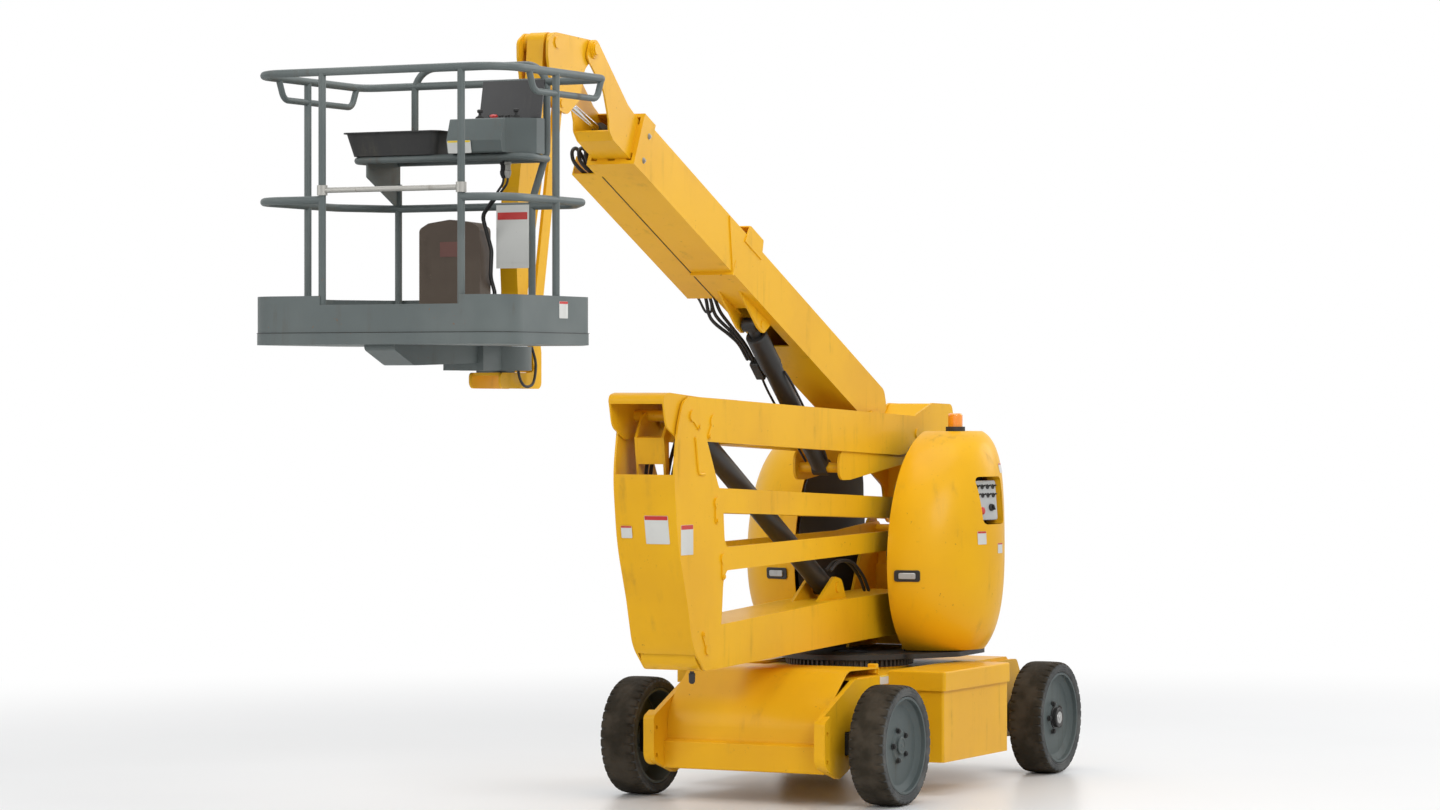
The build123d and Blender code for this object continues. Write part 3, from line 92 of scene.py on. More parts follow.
def whiteToTheEye(tree, shader):
    # Camera, glossy and transmission rays see plain white. Every other ray sees the shader's own light.
    path = tree.nodes.new("ShaderNodeLightPath")
    seen = tree.nodes.new("ShaderNodeMath")
    seen.operation = "MAXIMUM"
    seenToo = tree.nodes.new("ShaderNodeMath")
    seenToo.operation = "MAXIMUM"
    tree.links.new(path.outputs["Is Camera Ray"], seen.inputs[0])
    tree.links.new(path.outputs["Is Glossy Ray"], seen.inputs[1])
    tree.links.new(seen.outputs[0], seenToo.inputs[0])
    tree.links.new(path.outputs["Is Transmission Ray"], seenToo.inputs[1])
    white = tree.nodes.new("ShaderNodeBackground")
    white.inputs["Color"].default_value = (1, 1, 1, 1)
    mix = tree.nodes.new("ShaderNodeMixShader")
    tree.links.new(seenToo.outputs[0], mix.inputs[0])
    tree.links.new(shader, mix.inputs[1])
    tree.links.new(white.outputs[0], mix.inputs[2])
    return mix.outputs[0]


def makeWorld(strength):
    world = bpy.data.worlds.new("studio")
    world.use_nodes = True
    tree = world.node_tree
    tree.nodes.clear()
    soft = tree.nodes.new("ShaderNodeBackground")
    soft.inputs["Color"].default_value = (0.96, 0.98, 1.0, 1)
    soft.inputs["Strength"].default_value = strength
    out = tree.nodes.new("ShaderNodeOutputWorld")
    tree.links.new(whiteToTheEye(tree, soft.outputs[0]), out.inputs["Surface"])
    scene.world = world


def makeFloor(look):
    mesh = bpy.data.meshes.new("floor")
    half = look["half"]
    mesh.from_pydata([(-half, -half, 0), (half, -half, 0), (half, half, 0), (-half, half, 0)], [], [(0, 1, 2, 3)])
    floor = bpy.data.objects.new("floor", mesh)
    scene.collection.objects.link(floor)
    material = bpy.data.materials.new("studioFloor")
    material.use_nodes = True
    tree = material.node_tree
    shader = tree.nodes["Principled BSDF"]
    shader.inputs["Roughness"].default_value = look["roughness"]
    coords = tree.nodes.new("ShaderNodeTexCoord")
    noise = tree.nodes.new("ShaderNodeTexNoise")
    noise.inputs["Scale"].default_value = look["noise"]
    ramp = tree.nodes.new("ShaderNodeMapRange")
    ramp.inputs["To Min"].default_value, ramp.inputs["To Max"].default_value = look["grey"]
    tree.links.new(coords.outputs["Object"], noise.inputs["Vector"])
    tree.links.new(noise.outputs["Fac"], ramp.inputs["Value"])
    tree.links.new(ramp.outputs[0], shader.inputs["Base Color"])
    # far from the object the floor turns into the plain backdrop
    split = tree.nodes.new("ShaderNodeVectorMath")
    split.operation = "LENGTH"
    tree.links.new(coords.outputs["Object"], split.inputs[0])
    fade = tree.nodes.new("ShaderNodeMapRange")
    fade.interpolation_type = "SMOOTHSTEP"
    fade.inputs["From Min"].default_value, fade.inputs["From Max"].default_value = look["fade"]
    tree.links.new(split.outputs["Value"], fade.inputs["Value"])
    glow = tree.nodes.new("ShaderNodeEmission")
    mix = tree.nodes.new("ShaderNodeMixShader")
    out = tree.nodes["Material Output"]
    path = tree.nodes.new("ShaderNodeLightPath")
    seen = tree.nodes.new("ShaderNodeMath")
    seen.operation = "MULTIPLY"
    tree.links.new(path.outputs["Is Camera Ray"], seen.inputs[0])
    tree.links.new(fade.outputs[0], seen.inputs[1])
    tree.links.new(seen.outputs[0], mix.inputs[0])
    tree.links.new(shader.outputs[0], mix.inputs[1])
    tree.links.new(glow.outputs[0], mix.inputs[2])
    tree.links.new(mix.outputs[0], out.inputs["Surface"])
    mesh.materials.append(material)


makeCamera(cameraLook)
makeLamps(lampLook)
makeWorld(lampLook["worldLight"])
makeFloor(floorLook)
scene.view_settings.view_transform = "Standard"
print("camera, lamps and floor set")


# shader groups and finishes
def startGroup(name, inputs, outputs):
    group = bpy.data.node_groups.new(name, "ShaderNodeTree")
    for label, kind, value in inputs:
        socket = group.interface.new_socket(label, in_out="INPUT", socket_type=kind)
        socket.default_value = value
    for label, kind in outputs:
        group.interface.new_socket(label, in_out="OUTPUT", socket_type=kind)
    return group, group.nodes.new("NodeGroupInput"), group.nodes.new("NodeGroupOutput")


def noiseNode(tree, vector, scale, detail=3.0, rough=0.5):
    noise = tree.nodes.new("ShaderNodeTexNoise")
    noise.inputs["Scale"].default_value = scale
    noise.inputs["Detail"].default_value = detail
    noise.inputs["Roughness"].default_value = rough
    tree.links.new(vector, noise.inputs["Vector"])
    return noise.outputs["Fac"]


def rangeNode(tree, value, low, high, toLow=0.0, toHigh=1.0):
    node = tree.nodes.new("ShaderNodeMapRange")
    node.interpolation_type = "SMOOTHSTEP"
    node.inputs["From Min"].default_value, node.inputs["From Max"].default_value = low, high
    node.inputs["To Min"].default_value, node.inputs["To Max"].default_value = toLow, toHigh
    tree.links.new(value, node.inputs["Value"])
    return node.outputs[0]


def mathNode(tree, operation, a, b):
    node = tree.nodes.new("ShaderNodeMath")
    node.operation = operation
    for index, value in enumerate((a, b)):
        if isinstance(value, (int, float)):
            node.inputs[index].default_value = value
        else:
            tree.links.new(value, node.inputs[index])
    return node.outputs[0]


def mixColour(tree, share, a, b):
    node = tree.nodes.new("ShaderNodeMix")
    node.data_type = "RGBA"
    for socket, value in ((node.inputs[0], share), (node.inputs[6], a), (node.inputs[7], b)):
        if isinstance(value, (int, float, tuple)):
            socket.default_value = value
        else:
            tree.links.new(value, socket)
    return node.outputs[2]


def stretched(tree, vector, scale):
    node = tree.nodes.new("ShaderNodeMapping")
    node.inputs["Scale"].default_value = scale
    tree.links.new(vector, node.inputs["Vector"])
    return node.outputs[0]


def makeWeatherGroup():
    # colour = paint faded by slow noise, then streaks that run down, then specks where fine noise peaks;
    # roughness and height follow the same masks.
    group, start, end = startGroup(
        "weather",
        (
            ("Paint", "NodeSocketColor", (0.8, 0.8, 0.8, 1)), ("Faded", "NodeSocketColor", (0.8, 0.8, 0.8, 1)),
            ("Dirt", "NodeSocketColor", (0.1, 0.08, 0.05, 1)), ("Specks", "NodeSocketColor", (0.15, 0.06, 0.02, 1)),
            ("Dirt share", "NodeSocketFloat", 0.3), ("Speck share", "NodeSocketFloat", 0.1),
            ("Gloss", "NodeSocketFloat", 0.35),
        ),
        (("Colour", "NodeSocketColor"), ("Roughness", "NodeSocketFloat"), ("Height", "NodeSocketFloat")),
    )
    link = group.links.new
    place = group.nodes.new("ShaderNodeTexCoord").outputs["Object"]
    slow = rangeNode(group, noiseNode(group, place, 1.7, 4.0), 0.38, 0.68)
    base = mixColour(group, slow, start.outputs["Paint"], start.outputs["Faded"])
    runs = noiseNode(group, stretched(group, place, (16.0, 16.0, 1.3)), 1.0, 5.0, 0.6)
    blots = noiseNode(group, place, 5.0, 6.0, 0.65)
    grime = mathNode(group, "MULTIPLY", rangeNode(group, runs, 0.50, 0.78), rangeNode(group, blots, 0.42, 0.70))
    grime = mathNode(group, "MULTIPLY", grime, start.outputs["Dirt share"])
    dirty = mixColour(group, grime, base, start.outputs["Dirt"])
    fine = noiseNode(group, place, 46.0, 5.0, 0.7)
    patch = rangeNode(group, noiseNode(group, place, 7.0, 3.0), 0.50, 0.62)
    specks = mathNode(group, "MULTIPLY", rangeNode(group, fine, 0.63, 0.70), patch)
    specks = mathNode(group, "MULTIPLY", specks, start.outputs["Speck share"])
    worn = mixColour(group, specks, dirty, start.outputs["Specks"])
    link(worn, end.inputs["Colour"])
    rough = mathNode(group, "ADD", start.outputs["Gloss"], mathNode(group, "MULTIPLY", grime, 0.35))
    rough = mathNode(group, "ADD", rough, mathNode(group, "MULTIPLY", specks, 0.4))
    rough = mathNode(group, "ADD", rough, mathNode(group, "MULTIPLY", blots, 0.08))
    link(rough, end.inputs["Roughness"])
    peel = mathNode(group, "MULTIPLY", noiseNode(group, place, 170.0, 2.0), 0.25)
    height = mathNode(group, "SUBTRACT", peel, mathNode(group, "MULTIPLY", specks, 1.0))
    link(height, end.inputs["Height"])
    return group


weatherGroup = makeWeatherGroup()


def newMaterial(name):
    material = bpy.data.materials.new(name)
    material.use_nodes = True
    return material, material.node_tree, material.node_tree.nodes["Principled BSDF"]


def bumpFrom(tree, shader, height, strength, depth):
    bump = tree.nodes.new("ShaderNodeBump")
    bump.inputs["Strength"].default_value = strength
    bump.inputs["Distance"].default_value = depth
    tree.links.new(height, bump.inputs["Height"])
    tree.links.new(bump.outputs[0], shader.inputs["Normal"])


def paintMaterial(name, look):
    material, tree, shader = newMaterial(name)
    weather = tree.nodes.new("ShaderNodeGroup")
    weather.node_tree = weatherGroup
    for label in ("Paint", "Faded", "Dirt", "Specks"):
        weather.inputs[label].default_value = (*look[label], 1)
    for label in ("Dirt share", "Speck share", "Gloss"):
        weather.inputs[label].default_value = look[label]
    tree.links.new(weather.outputs["Colour"], shader.inputs["Base Color"])
    tree.links.new(weather.outputs["Roughness"], shader.inputs["Roughness"])
    bumpFrom(tree, shader, weather.outputs["Height"], 0.35, look.get("depth", 0.0008))
    shader.inputs["Metallic"].default_value = look.get("metal", 0.0)
    shader.inputs["Coat Weight"].default_value = look.get("coat", 0.0)
    shader.inputs["Coat Roughness"].default_value = 0.18
    shader.inputs["Specular IOR Level"].default_value = look.get("specular", 0.4)
    return material


# colours as (r, g, b) in linear light
finishes = {
    "bodyYellow": dict(
        Paint=(0.820, 0.440, 0.008), Faded=(0.745, 0.385, 0.010), Dirt=(0.24, 0.13, 0.03), Specks=(0.14, 0.06, 0.02),
        **{"Dirt share": 0.5, "Speck share": 0.55, "Gloss": 0.36}, coat=0.08, specular=0.16,
    ),
    "basketGrey": dict(
        Paint=(0.098, 0.118, 0.116), Faded=(0.135, 0.155, 0.150), Dirt=(0.10, 0.075, 0.05), Specks=(0.22, 0.10, 0.045),
        **{"Dirt share": 0.8, "Speck share": 0.85, "Gloss": 0.48},
    ),
    "wheelGrey": dict(
        Paint=(0.080, 0.098, 0.098), Faded=(0.110, 0.128, 0.124), Dirt=(0.08, 0.07, 0.055), Specks=(0.16, 0.08, 0.04),
        **{"Dirt share": 0.7, "Speck share": 0.7, "Gloss": 0.5}, specular=0.22,
    ),
    "blackSteel": dict(
        Paint=(0.018, 0.018, 0.018), Faded=(0.032, 0.030, 0.028), Dirt=(0.09, 0.075, 0.055), Specks=(0.12, 0.06, 0.03),
        **{"Dirt share": 0.6, "Speck share": 0.5, "Gloss": 0.42},
    ),
    "ringSteel": dict(
        Paint=(0.075, 0.070, 0.065), Faded=(0.045, 0.042, 0.038), Dirt=(0.02, 0.015, 0.01), Specks=(0.2, 0.11, 0.05),
        **{"Dirt share": 0.9, "Speck share": 0.6, "Gloss": 0.42}, metal=0.7,
    ),
    "rodChrome": dict(
        Paint=(0.70, 0.71, 0.72), Faded=(0.62, 0.63, 0.64), Dirt=(0.25, 0.24, 0.22), Specks=(0.3, 0.27, 0.22),
        **{"Dirt share": 0.5, "Speck share": 0.4, "Gloss": 0.12}, metal=1.0, depth=0.0002,
    ),
    "blackPlastic": dict(
        Paint=(0.022, 0.022, 0.022), Faded=(0.035, 0.034, 0.033), Dirt=(0.10, 0.09, 0.07), Specks=(0.13, 0.12, 0.10),
        **{"Dirt share": 0.6, "Speck share": 0.6, "Gloss": 0.55},
    ),
}
finishes.update({
    "boxBrown": dict(
        Paint=(0.080, 0.055, 0.038), Faded=(0.120, 0.088, 0.062), Dirt=(0.05, 0.04, 0.03), Specks=(0.20, 0.16, 0.12),
        **{"Dirt share": 0.6, "Speck share": 0.5, "Gloss": 0.55},
    ),
    "signWhite": dict(
        Paint=(0.66, 0.66, 0.63), Faded=(0.56, 0.56, 0.53), Dirt=(0.30, 0.26, 0.20), Specks=(0.25, 0.18, 0.12),
        **{"Dirt share": 0.5, "Speck share": 0.3, "Gloss": 0.38}, depth=0.0003,
    ),
    "signRed": dict(
        Paint=(0.55, 0.020, 0.015), Faded=(0.46, 0.035, 0.025), Dirt=(0.20, 0.08, 0.05), Specks=(0.50, 0.42, 0.38),
        **{"Dirt share": 0.4, "Speck share": 0.3, "Gloss": 0.36}, depth=0.0003,
    ),
    "signYellow": dict(
        Paint=(0.85, 0.62, 0.03), Faded=(0.75, 0.55, 0.06), Dirt=(0.30, 0.22, 0.08), Specks=(0.25, 0.18, 0.10),
        **{"Dirt share": 0.4, "Speck share": 0.3, "Gloss": 0.36}, depth=0.0003,
    ),
    "switchPanel": dict(
        Paint=(0.42, 0.43, 0.42), Faded=(0.50, 0.51, 0.50), Dirt=(0.16, 0.14, 0.11), Specks=(0.12, 0.11, 0.10),
        **{"Dirt share": 0.5, "Speck share": 0.5, "Gloss": 0.4}, depth=0.0004,
    ),
    "boltZinc": dict(
        Paint=(0.42, 0.42, 0.41), Faded=(0.32, 0.31, 0.29), Dirt=(0.12, 0.09, 0.06), Specks=(0.20, 0.10, 0.05),
        **{"Dirt share": 0.7, "Speck share": 0.6, "Gloss": 0.34}, metal=0.85, depth=0.0004,
    ),
    "stopRed": dict(
        Paint=(0.62, 0.012, 0.010), Faded=(0.54, 0.025, 0.018), Dirt=(0.16, 0.05, 0.04), Specks=(0.30, 0.15, 0.12),
        **{"Dirt share": 0.3, "Speck share": 0.2, "Gloss": 0.26}, coat=0.4, depth=0.0003,
    ),
    "latchRust": dict(
        Paint=(0.120, 0.048, 0.018), Faded=(0.180, 0.085, 0.030), Dirt=(0.05, 0.03, 0.02), Specks=(0.30, 0.16, 0.05),
        **{"Dirt share": 0.8, "Speck share": 0.8, "Gloss": 0.62}, depth=0.0008,
    ),
    "boxPatch": dict(
        Paint=(0.150, 0.058, 0.045), Faded=(0.115, 0.056, 0.044), Dirt=(0.05, 0.04, 0.03), Specks=(0.26, 0.20, 0.16),
        **{"Dirt share": 0.6, "Speck share": 0.5, "Gloss": 0.5}, depth=0.0003,
    ),
    "barAluminium": dict(
        Paint=(0.40, 0.39, 0.36), Faded=(0.32, 0.31, 0.28), Dirt=(0.16, 0.13, 0.09), Specks=(0.18, 0.12, 0.07),
        **{"Dirt share": 0.8, "Speck share": 0.6, "Gloss": 0.46}, metal=0.55, depth=0.0004,
    ),
    "coverVinyl": dict(
        Paint=(0.012, 0.012, 0.013), Faded=(0.030, 0.030, 0.031), Dirt=(0.10, 0.09, 0.08), Specks=(0.12, 0.11, 0.10),
        **{"Dirt share": 0.5, "Speck share": 0.5, "Gloss": 0.26}, depth=0.0012,
    ),
    "hoseRubber": dict(
        Paint=(0.012, 0.012, 0.013), Faded=(0.026, 0.025, 0.024), Dirt=(0.09, 0.08, 0.06), Specks=(0.10, 0.09, 0.08),
        **{"Dirt share": 0.5, "Speck share": 0.4, "Gloss": 0.5}, depth=0.0004,
    ),
})
materials = {name: paintMaterial(name, look) for name, look in finishes.items()}


def makeTyreRubber():
    # dusty brown on the tread, grey below it, split by the distance from the wheel's own axis
    material, tree, shader = newMaterial("tyreRubber")
    place = tree.nodes.new("ShaderNodeTexCoord").outputs["Object"]
    parts = tree.nodes.new("ShaderNodeSeparateXYZ")
    tree.links.new(place, parts.inputs[0])
    across = mathNode(tree, "SUBTRACT", mathNode(tree, "ABSOLUTE", parts.outputs[0], 0.0), 0.94)
    up = mathNode(tree, "SUBTRACT", parts.outputs[2], 0.2795)
    square = mathNode(tree, "ADD", mathNode(tree, "MULTIPLY", across, across), mathNode(tree, "MULTIPLY", up, up))
    radius = mathNode(tree, "POWER", square, 0.5)
    grain = noiseNode(tree, place, 60.0, 5.0, 0.65)
    dust = rangeNode(tree, noiseNode(tree, place, 9.0, 5.0), 0.40, 0.66)
    side = mixColour(tree, dust, (0.070, 0.072, 0.072, 1), (0.112, 0.114, 0.110, 1))
    tread = mixColour(tree, dust, (0.026, 0.021, 0.014, 1), (0.054, 0.044, 0.032, 1))
    share = rangeNode(tree, radius, 0.262, 0.272)
    tree.links.new(mixColour(tree, share, side, tread), shader.inputs["Base Color"])
    tree.links.new(rangeNode(tree, grain, 0.3, 0.7, 0.72, 0.9), shader.inputs["Roughness"])
    shader.inputs["Specular IOR Level"].default_value = 0.18
    bumpFrom(tree, shader, grain, 0.5, 0.0015)
    return material


def makeAmberLens():
    material, tree, shader = newMaterial("amberLens")
    place = tree.nodes.new("ShaderNodeTexCoord").outputs["Object"]
    ribs = noiseNode(tree, stretched(tree, place, (180.0, 180.0, 4.0)), 1.0, 1.0)
    tree.links.new(mixColour(tree, ribs, (0.95, 0.20, 0.005, 1), (0.98, 0.42, 0.02, 1)), shader.inputs["Base Color"])
    tree.links.new(rangeNode(tree, ribs, 0.3, 0.7, 0.12, 0.25), shader.inputs["Roughness"])
    shader.inputs["Coat Weight"].default_value = 0.6
    bumpFrom(tree, shader, ribs, 0.4, 0.001)
    return material


materials["tyreRubber"] = makeTyreRubber()
materials["amberLens"] = makeAmberLens()
print("materials made:", len(materials))

# which finish each CAD node takes, by the record's own slot
slotFinish = {
    "body_yellow": "bodyYellow", "basket_grey": "basketGrey", "wheel_grey": "wheelGrey", "black_steel": "blackSteel",
    "ring_steel": "ringSteel", "rod_chrome": "rodChrome", "tyre_rubber": "tyreRubber", "black_plastic": "blackPlastic",
    "amber_lens": "amberLens", "box_brown": "boxBrown", "sign_white": "signWhite",
}
# nodes that differ from their slot
nodeFinish = {"entry_bar": "barAluminium", "console_cover": "coverVinyl", "lift_rod": "blackSteel"}
for row in frame["record"]["subparts"]:
    node = nodes[row["node"]]
    node.data.materials.clear()
    node.data.materials.append(materials[nodeFinish.get(row["node"], slotFinish[row["material_slot"]])])
print("finishes given to the CAD nodes")


# surfaces worked out on grids of points
def gridFaces(rows, columns, closeRows=False, closeColumns=False):
    # quad (i, j), (i + 1, j), (i + 1, j + 1), (i, j + 1); a closed direction wraps round to its start
    i, j = np.meshgrid(np.arange(rows - (not closeRows)), np.arange(columns - (not closeColumns)), indexing="ij")
    down, right = (i + 1) % rows, (j + 1) % columns
    quads = np.stack([i * columns + j, down * columns + j, down * columns + right, i * columns + right], -1)
    return quads.reshape(-1, 4)


def joined(*shapes):
    # several (points, quads) as one, each one's quads moved on by the points before it
    starts = np.cumsum([0] + [len(points) for points, _ in shapes[:-1]])
    return np.concatenate([p for p, q in shapes]), np.concatenate([q + n for (p, q), n in zip(shapes, starts)])


def crossFrame(axis):
    # two unit vectors square to the axis and to each other
    axis = np.array(axis, float) / np.linalg.norm(axis)
    side = np.cross(axis, np.eye(3)[np.argmin(np.abs(axis))])
    side /= np.linalg.norm(side)
    return axis, side, np.cross(axis, side)


def turned(profile, centre, axis, sides=24):
    # centre + axis * height + radius * (side * cos a + across * sin a), for (height, radius) down the profile
    axis, side, across = crossFrame(axis)
    height, radius = np.array(profile, float).T[:, :, None, None]
    a = np.linspace(0, 2 * np.pi, sides, endpoint=False)[None, :, None]
    points = np.array(centre) + height * axis + radius * (side * np.cos(a) + across * np.sin(a))
    return points.reshape(-1, 3), gridFaces(len(profile), sides, closeColumns=True)


def smoothPath(points, steps=8):
    # Catmull-Rom: each span is the cubic through its two points with tangents half the chord of their neighbours
    p = np.array(points, float)
    p = np.vstack([2 * p[0] - p[1], p, 2 * p[-1] - p[-2]])
    t = np.linspace(0, 1, steps, endpoint=False)[None, :, None]
    a, b, c, d = p[:-3, None], p[1:-2, None], p[2:-1, None], p[3:, None]
    curve = 0.5 * (2 * b + (c - a) * t + (2 * a - 5 * b + 4 * c - d) * t**2 + (3 * b - a - 3 * c + d) * t**3)
    return np.vstack([curve.reshape(-1, 3), p[-2]])


def tubeAlong(points, radius, sides=10, steps=8):
    # path(t) + radius * (normal(t) * cos a + across(t) * sin a); both ends round in to the path
    path = smoothPath(points, steps)
    along = np.gradient(path, axis=0)
    along /= np.linalg.norm(along, axis=1)[:, None]
    fixed = np.eye(3)[np.argmin(np.ptp(path, axis=0))]
    normal = np.cross(along, fixed)
    normal /= np.linalg.norm(normal, axis=1)[:, None]
    across = np.cross(along, normal)
    ends = np.r_[0, 0, np.arange(len(path)), len(path) - 1, len(path) - 1]
    width = np.r_[0, 0.7, np.ones(len(path)), 0.7, 0] * radius
    shift = np.r_[-0.6, -0.5, np.zeros(len(path)), 0.5, 0.6] * radius
    a = np.linspace(0, 2 * np.pi, sides, endpoint=False)[None, :, None]
    ring = normal[ends][:, None] * np.cos(a) + across[ends][:, None] * np.sin(a)
    grid = (path[ends] + along[ends] * shift[:, None])[:, None] + ring * width[:, None, None]
    return grid.reshape(-1, 3), gridFaces(len(ends), sides, closeColumns=True)


def roundedLoop(width, height, corner, perCorner=6):
    # each corner's centre + corner * (cos a, sin a), a quarter turn each
    a = (np.arange(4)[:, None] + np.linspace(0, 1, perCorner)) * np.pi / 2
    signs = np.array([(1, 1), (-1, 1), (-1, -1), (1, -1)], float)[:, None]
    middle = signs * (np.array([width, height]) / 2 - corner)
    return (middle + corner * np.stack([np.cos(a), np.sin(a)], -1)).reshape(-1, 2)


def roundedPlate(centre, normal, up, size, corner=0.004, bevel=0.0006):
    # rounded rectangles at (inset, lift): in to the middle, the back edge, the front edge, the bevel, the middle
    width, height, thick = size
    normal = np.array(normal, float) / np.linalg.norm(normal)
    up = np.array(up, float) - normal * np.dot(up, normal)
    up /= np.linalg.norm(up)
    side = np.cross(up, normal)
    loop = roundedLoop(width, height, corner)
    inner = loop * (1 - 2 * bevel / np.array([width, height]))
    rings = np.stack([loop * 0, loop, loop, inner, loop * 0])
    lift = np.array([0, 0, thick - bevel, thick, thick])[:, None, None]
    points = np.array(centre) + rings[..., :1] * side + rings[..., 1:] * up + lift * normal
    return points.reshape(-1, 3), gridFaces(5, len(loop), closeColumns=True)


def makePiece(name, body, finish, slot, *shapes, sharp=32.0, replaces=()):
    points, quads = joined(*shapes)
    mesh = bpy.data.meshes.new(name)
    mesh.vertices.add(len(points))
    mesh.vertices.foreach_set("co", points.astype(np.float32).ravel())
    mesh.loops.add(quads.size)
    mesh.loops.foreach_set("vertex_index", quads.astype(np.int32).ravel())
    mesh.polygons.add(len(quads))
    mesh.polygons.foreach_set("loop_start", np.arange(0, quads.size, 4, dtype=np.int32))
    mesh.update(calc_edges=True)
    tidy = bmesh.new()
    tidy.from_mesh(mesh)
    bmesh.ops.remove_doubles(tidy, verts=tidy.verts, dist=1e-6)
    bmesh.ops.recalc_face_normals(tidy, faces=tidy.faces)
    tidy.to_mesh(mesh)
    tidy.free()
    mesh.polygons.foreach_set("use_smooth", np.ones(len(mesh.polygons), bool))
    mesh.set_sharp_from_angle(angle=np.radians(sharp))
    mesh.materials.append(materials[finish])
    piece = bpy.data.objects.new(name, mesh)
    scene.collection.objects.link(piece)
    if replaces:
        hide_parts(*replaces)
    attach(piece, body)
    return piece


# tyres, in place of the CAD ones
tyreLook = dict(
    radius=0.2795, lugs=38, grooveDepth=0.0095, grooveShare=0.48, columns=456,
    # offset from the middle of the tread, radius
    profile=(
        (0.000, 0.2795), (0.020, 0.2794), (0.040, 0.2791), (0.050, 0.2788), (0.058, 0.2784), (0.066, 0.2777),
        (0.074, 0.2764), (0.080, 0.2742), (0.0845, 0.2706), (0.0868, 0.2660), (0.0880, 0.2610), (0.0886, 0.2560),
        (0.0874, 0.2535), (0.0862, 0.2510), (0.0872, 0.2480), (0.0870, 0.2420), (0.0850, 0.2370), (0.0870, 0.2345),
        (0.0850, 0.2300), (0.0780, 0.2265), (0.0400, 0.2262), (0.000, 0.2262),
    ),
)


def tyreSurface(look, x, y):
    # (x + r sin a, y + offset, radius + r cos a) round a mirrored profile; near a shoulder r loses
    # depth * notch(lugs * a), where notch is a smooth step of the cosine, turned half a lug on the inner side
    half = np.array(look["profile"])
    profile = np.vstack([half, (half * (-1, 1))[-2:0:-1]])
    offset, radius = profile.T[:, :, None]
    a = np.linspace(0, 2 * np.pi, look["columns"], endpoint=False)[None]
    wave = np.cos(look["lugs"] * a + np.pi * (offset < 0))
    notch = np.clip((wave - look["grooveShare"]) / (1 - look["grooveShare"]), 0, 1)
    notch = notch * notch * (3 - 2 * notch)
    shoulder = np.clip((np.abs(offset) - 0.048) / 0.022, 0, 1) * np.clip((radius - 0.2585) / 0.010, 0, 1)
    cut = look["grooveDepth"] * notch * shoulder
    r = radius - cut
    inward = offset - np.sign(offset) * cut * 0.55 * np.clip((np.abs(offset) - 0.07) / 0.01, 0, 1)
    points = np.stack([x + r * np.sin(a), y + inward + 0 * a, look["radius"] + r * np.cos(a)], -1)
    return points.reshape(-1, 3), gridFaces(len(profile), look["columns"], True, True)


for end in ("front", "rear"):
    for side in ("left", "right"):
        low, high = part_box(f"tyre_{end}_{side}")
        middle = (np.array(low) + np.array(high)) / 2
        makePiece(
            f"tread_{end}_{side}", f"wheel_{end}_{side}", "tyreRubber", "tyre_rubber",
            tyreSurface(tyreLook, middle[0], middle[1]), sharp=50.0, replaces=(f"tyre_{end}_{side}",),
        )
print("tyres made")


# wheel nuts, caps and hubs
wheelLook = dict(
    nuts=5, nutCircle=0.0720, nutRadius=0.0115, nutHeight=0.014, washer=0.0150,
    nutFace=0.6952, hubPlane=0.7035, hubRadius=0.0500, hubReach=0.022, hubFace=0.0350,
)


def nutShape(centre, axis, radius, height, washer):
    # a six-sided prism with a turned-in top on a thin round washer
    ring = turned([(0, 0), (0, washer), (0.002, washer), (0.0026, washer - 0.0006), (0.0026, 0)], centre, axis, 16)
    nut = turned(
        [(0.0026, 0), (0.0026, radius), (height * 0.85, radius), (height, radius * 0.86), (height, radius * 0.55),
         (height + 0.003, radius * 0.50), (height + 0.003, 0)], centre, axis, 6,
    )
    return joined(ring, nut)


def wheelDetails(look, end, side):
    out = 1 if side == "left" else -1
    low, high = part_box(f"tyre_{end}_{side}")
    x, z = (low[0] + high[0]) / 2, (low[2] + high[2]) / 2
    turns = np.radians(18) + np.arange(look["nuts"]) * 2 * np.pi / look["nuts"]
    circle, face = look["nutCircle"], np.full_like(turns, out * look["nutFace"])
    places = np.stack([x + circle * np.sin(turns), face, z + circle * np.cos(turns)], 1)
    size = (look["nutRadius"], look["nutHeight"], look["washer"])
    nuts = [nutShape(place, (0, out, 0), *size) for place in places]
    makePiece(f"nuts_{end}_{side}", f"wheel_{end}_{side}", "blackSteel", "black_steel", *nuts)
    centre = (x, out * look["hubPlane"], z)
    if end == "front":
        cap = turned(
            [(0, 0), (0, 0.041), (0.004, 0.041), (0.0065, 0.038), (0.0065, 0.031), (0.004, 0.029), (0.004, 0.010),
             (0.007, 0.006), (0.007, 0)], centre, (0, out, 0), 40,
        )
        makePiece(f"cap_{end}_{side}", f"wheel_{end}_{side}", "wheelGrey", "wheel_grey", cap)
    else:
        reach = look["hubReach"]
        drum = turned(
            [(-0.008, 0), (-0.008, look["hubRadius"] + 0.006), (-0.002, look["hubRadius"] + 0.006),
             (0, look["hubRadius"]), (reach - 0.004, look["hubRadius"]), (reach, look["hubRadius"] - 0.004),
             (reach, look["hubFace"]), (reach - 0.003, look["hubFace"] - 0.002), (reach - 0.003, 0)],
            centre, (0, out, 0), 40,
        )
        makePiece(f"hub_{end}_{side}", f"wheel_{end}_{side}", "blackSteel", "black_steel", drum)
        face = turned(
            [(reach - 0.0025, 0), (reach - 0.0025, 0.031), (reach - 0.0005, 0.030), (reach - 0.0005, 0.012),
             (reach + 0.002, 0.010), (reach + 0.002, 0)], centre, (0, out, 0), 32,
        )
        makePiece(f"hub_face_{end}_{side}", f"wheel_{end}_{side}", "boltZinc", "ring_steel", face)


for end in ("front", "rear"):
    for side in ("left", "right"):
        wheelDetails(wheelLook, end, side)
print("wheel details made")


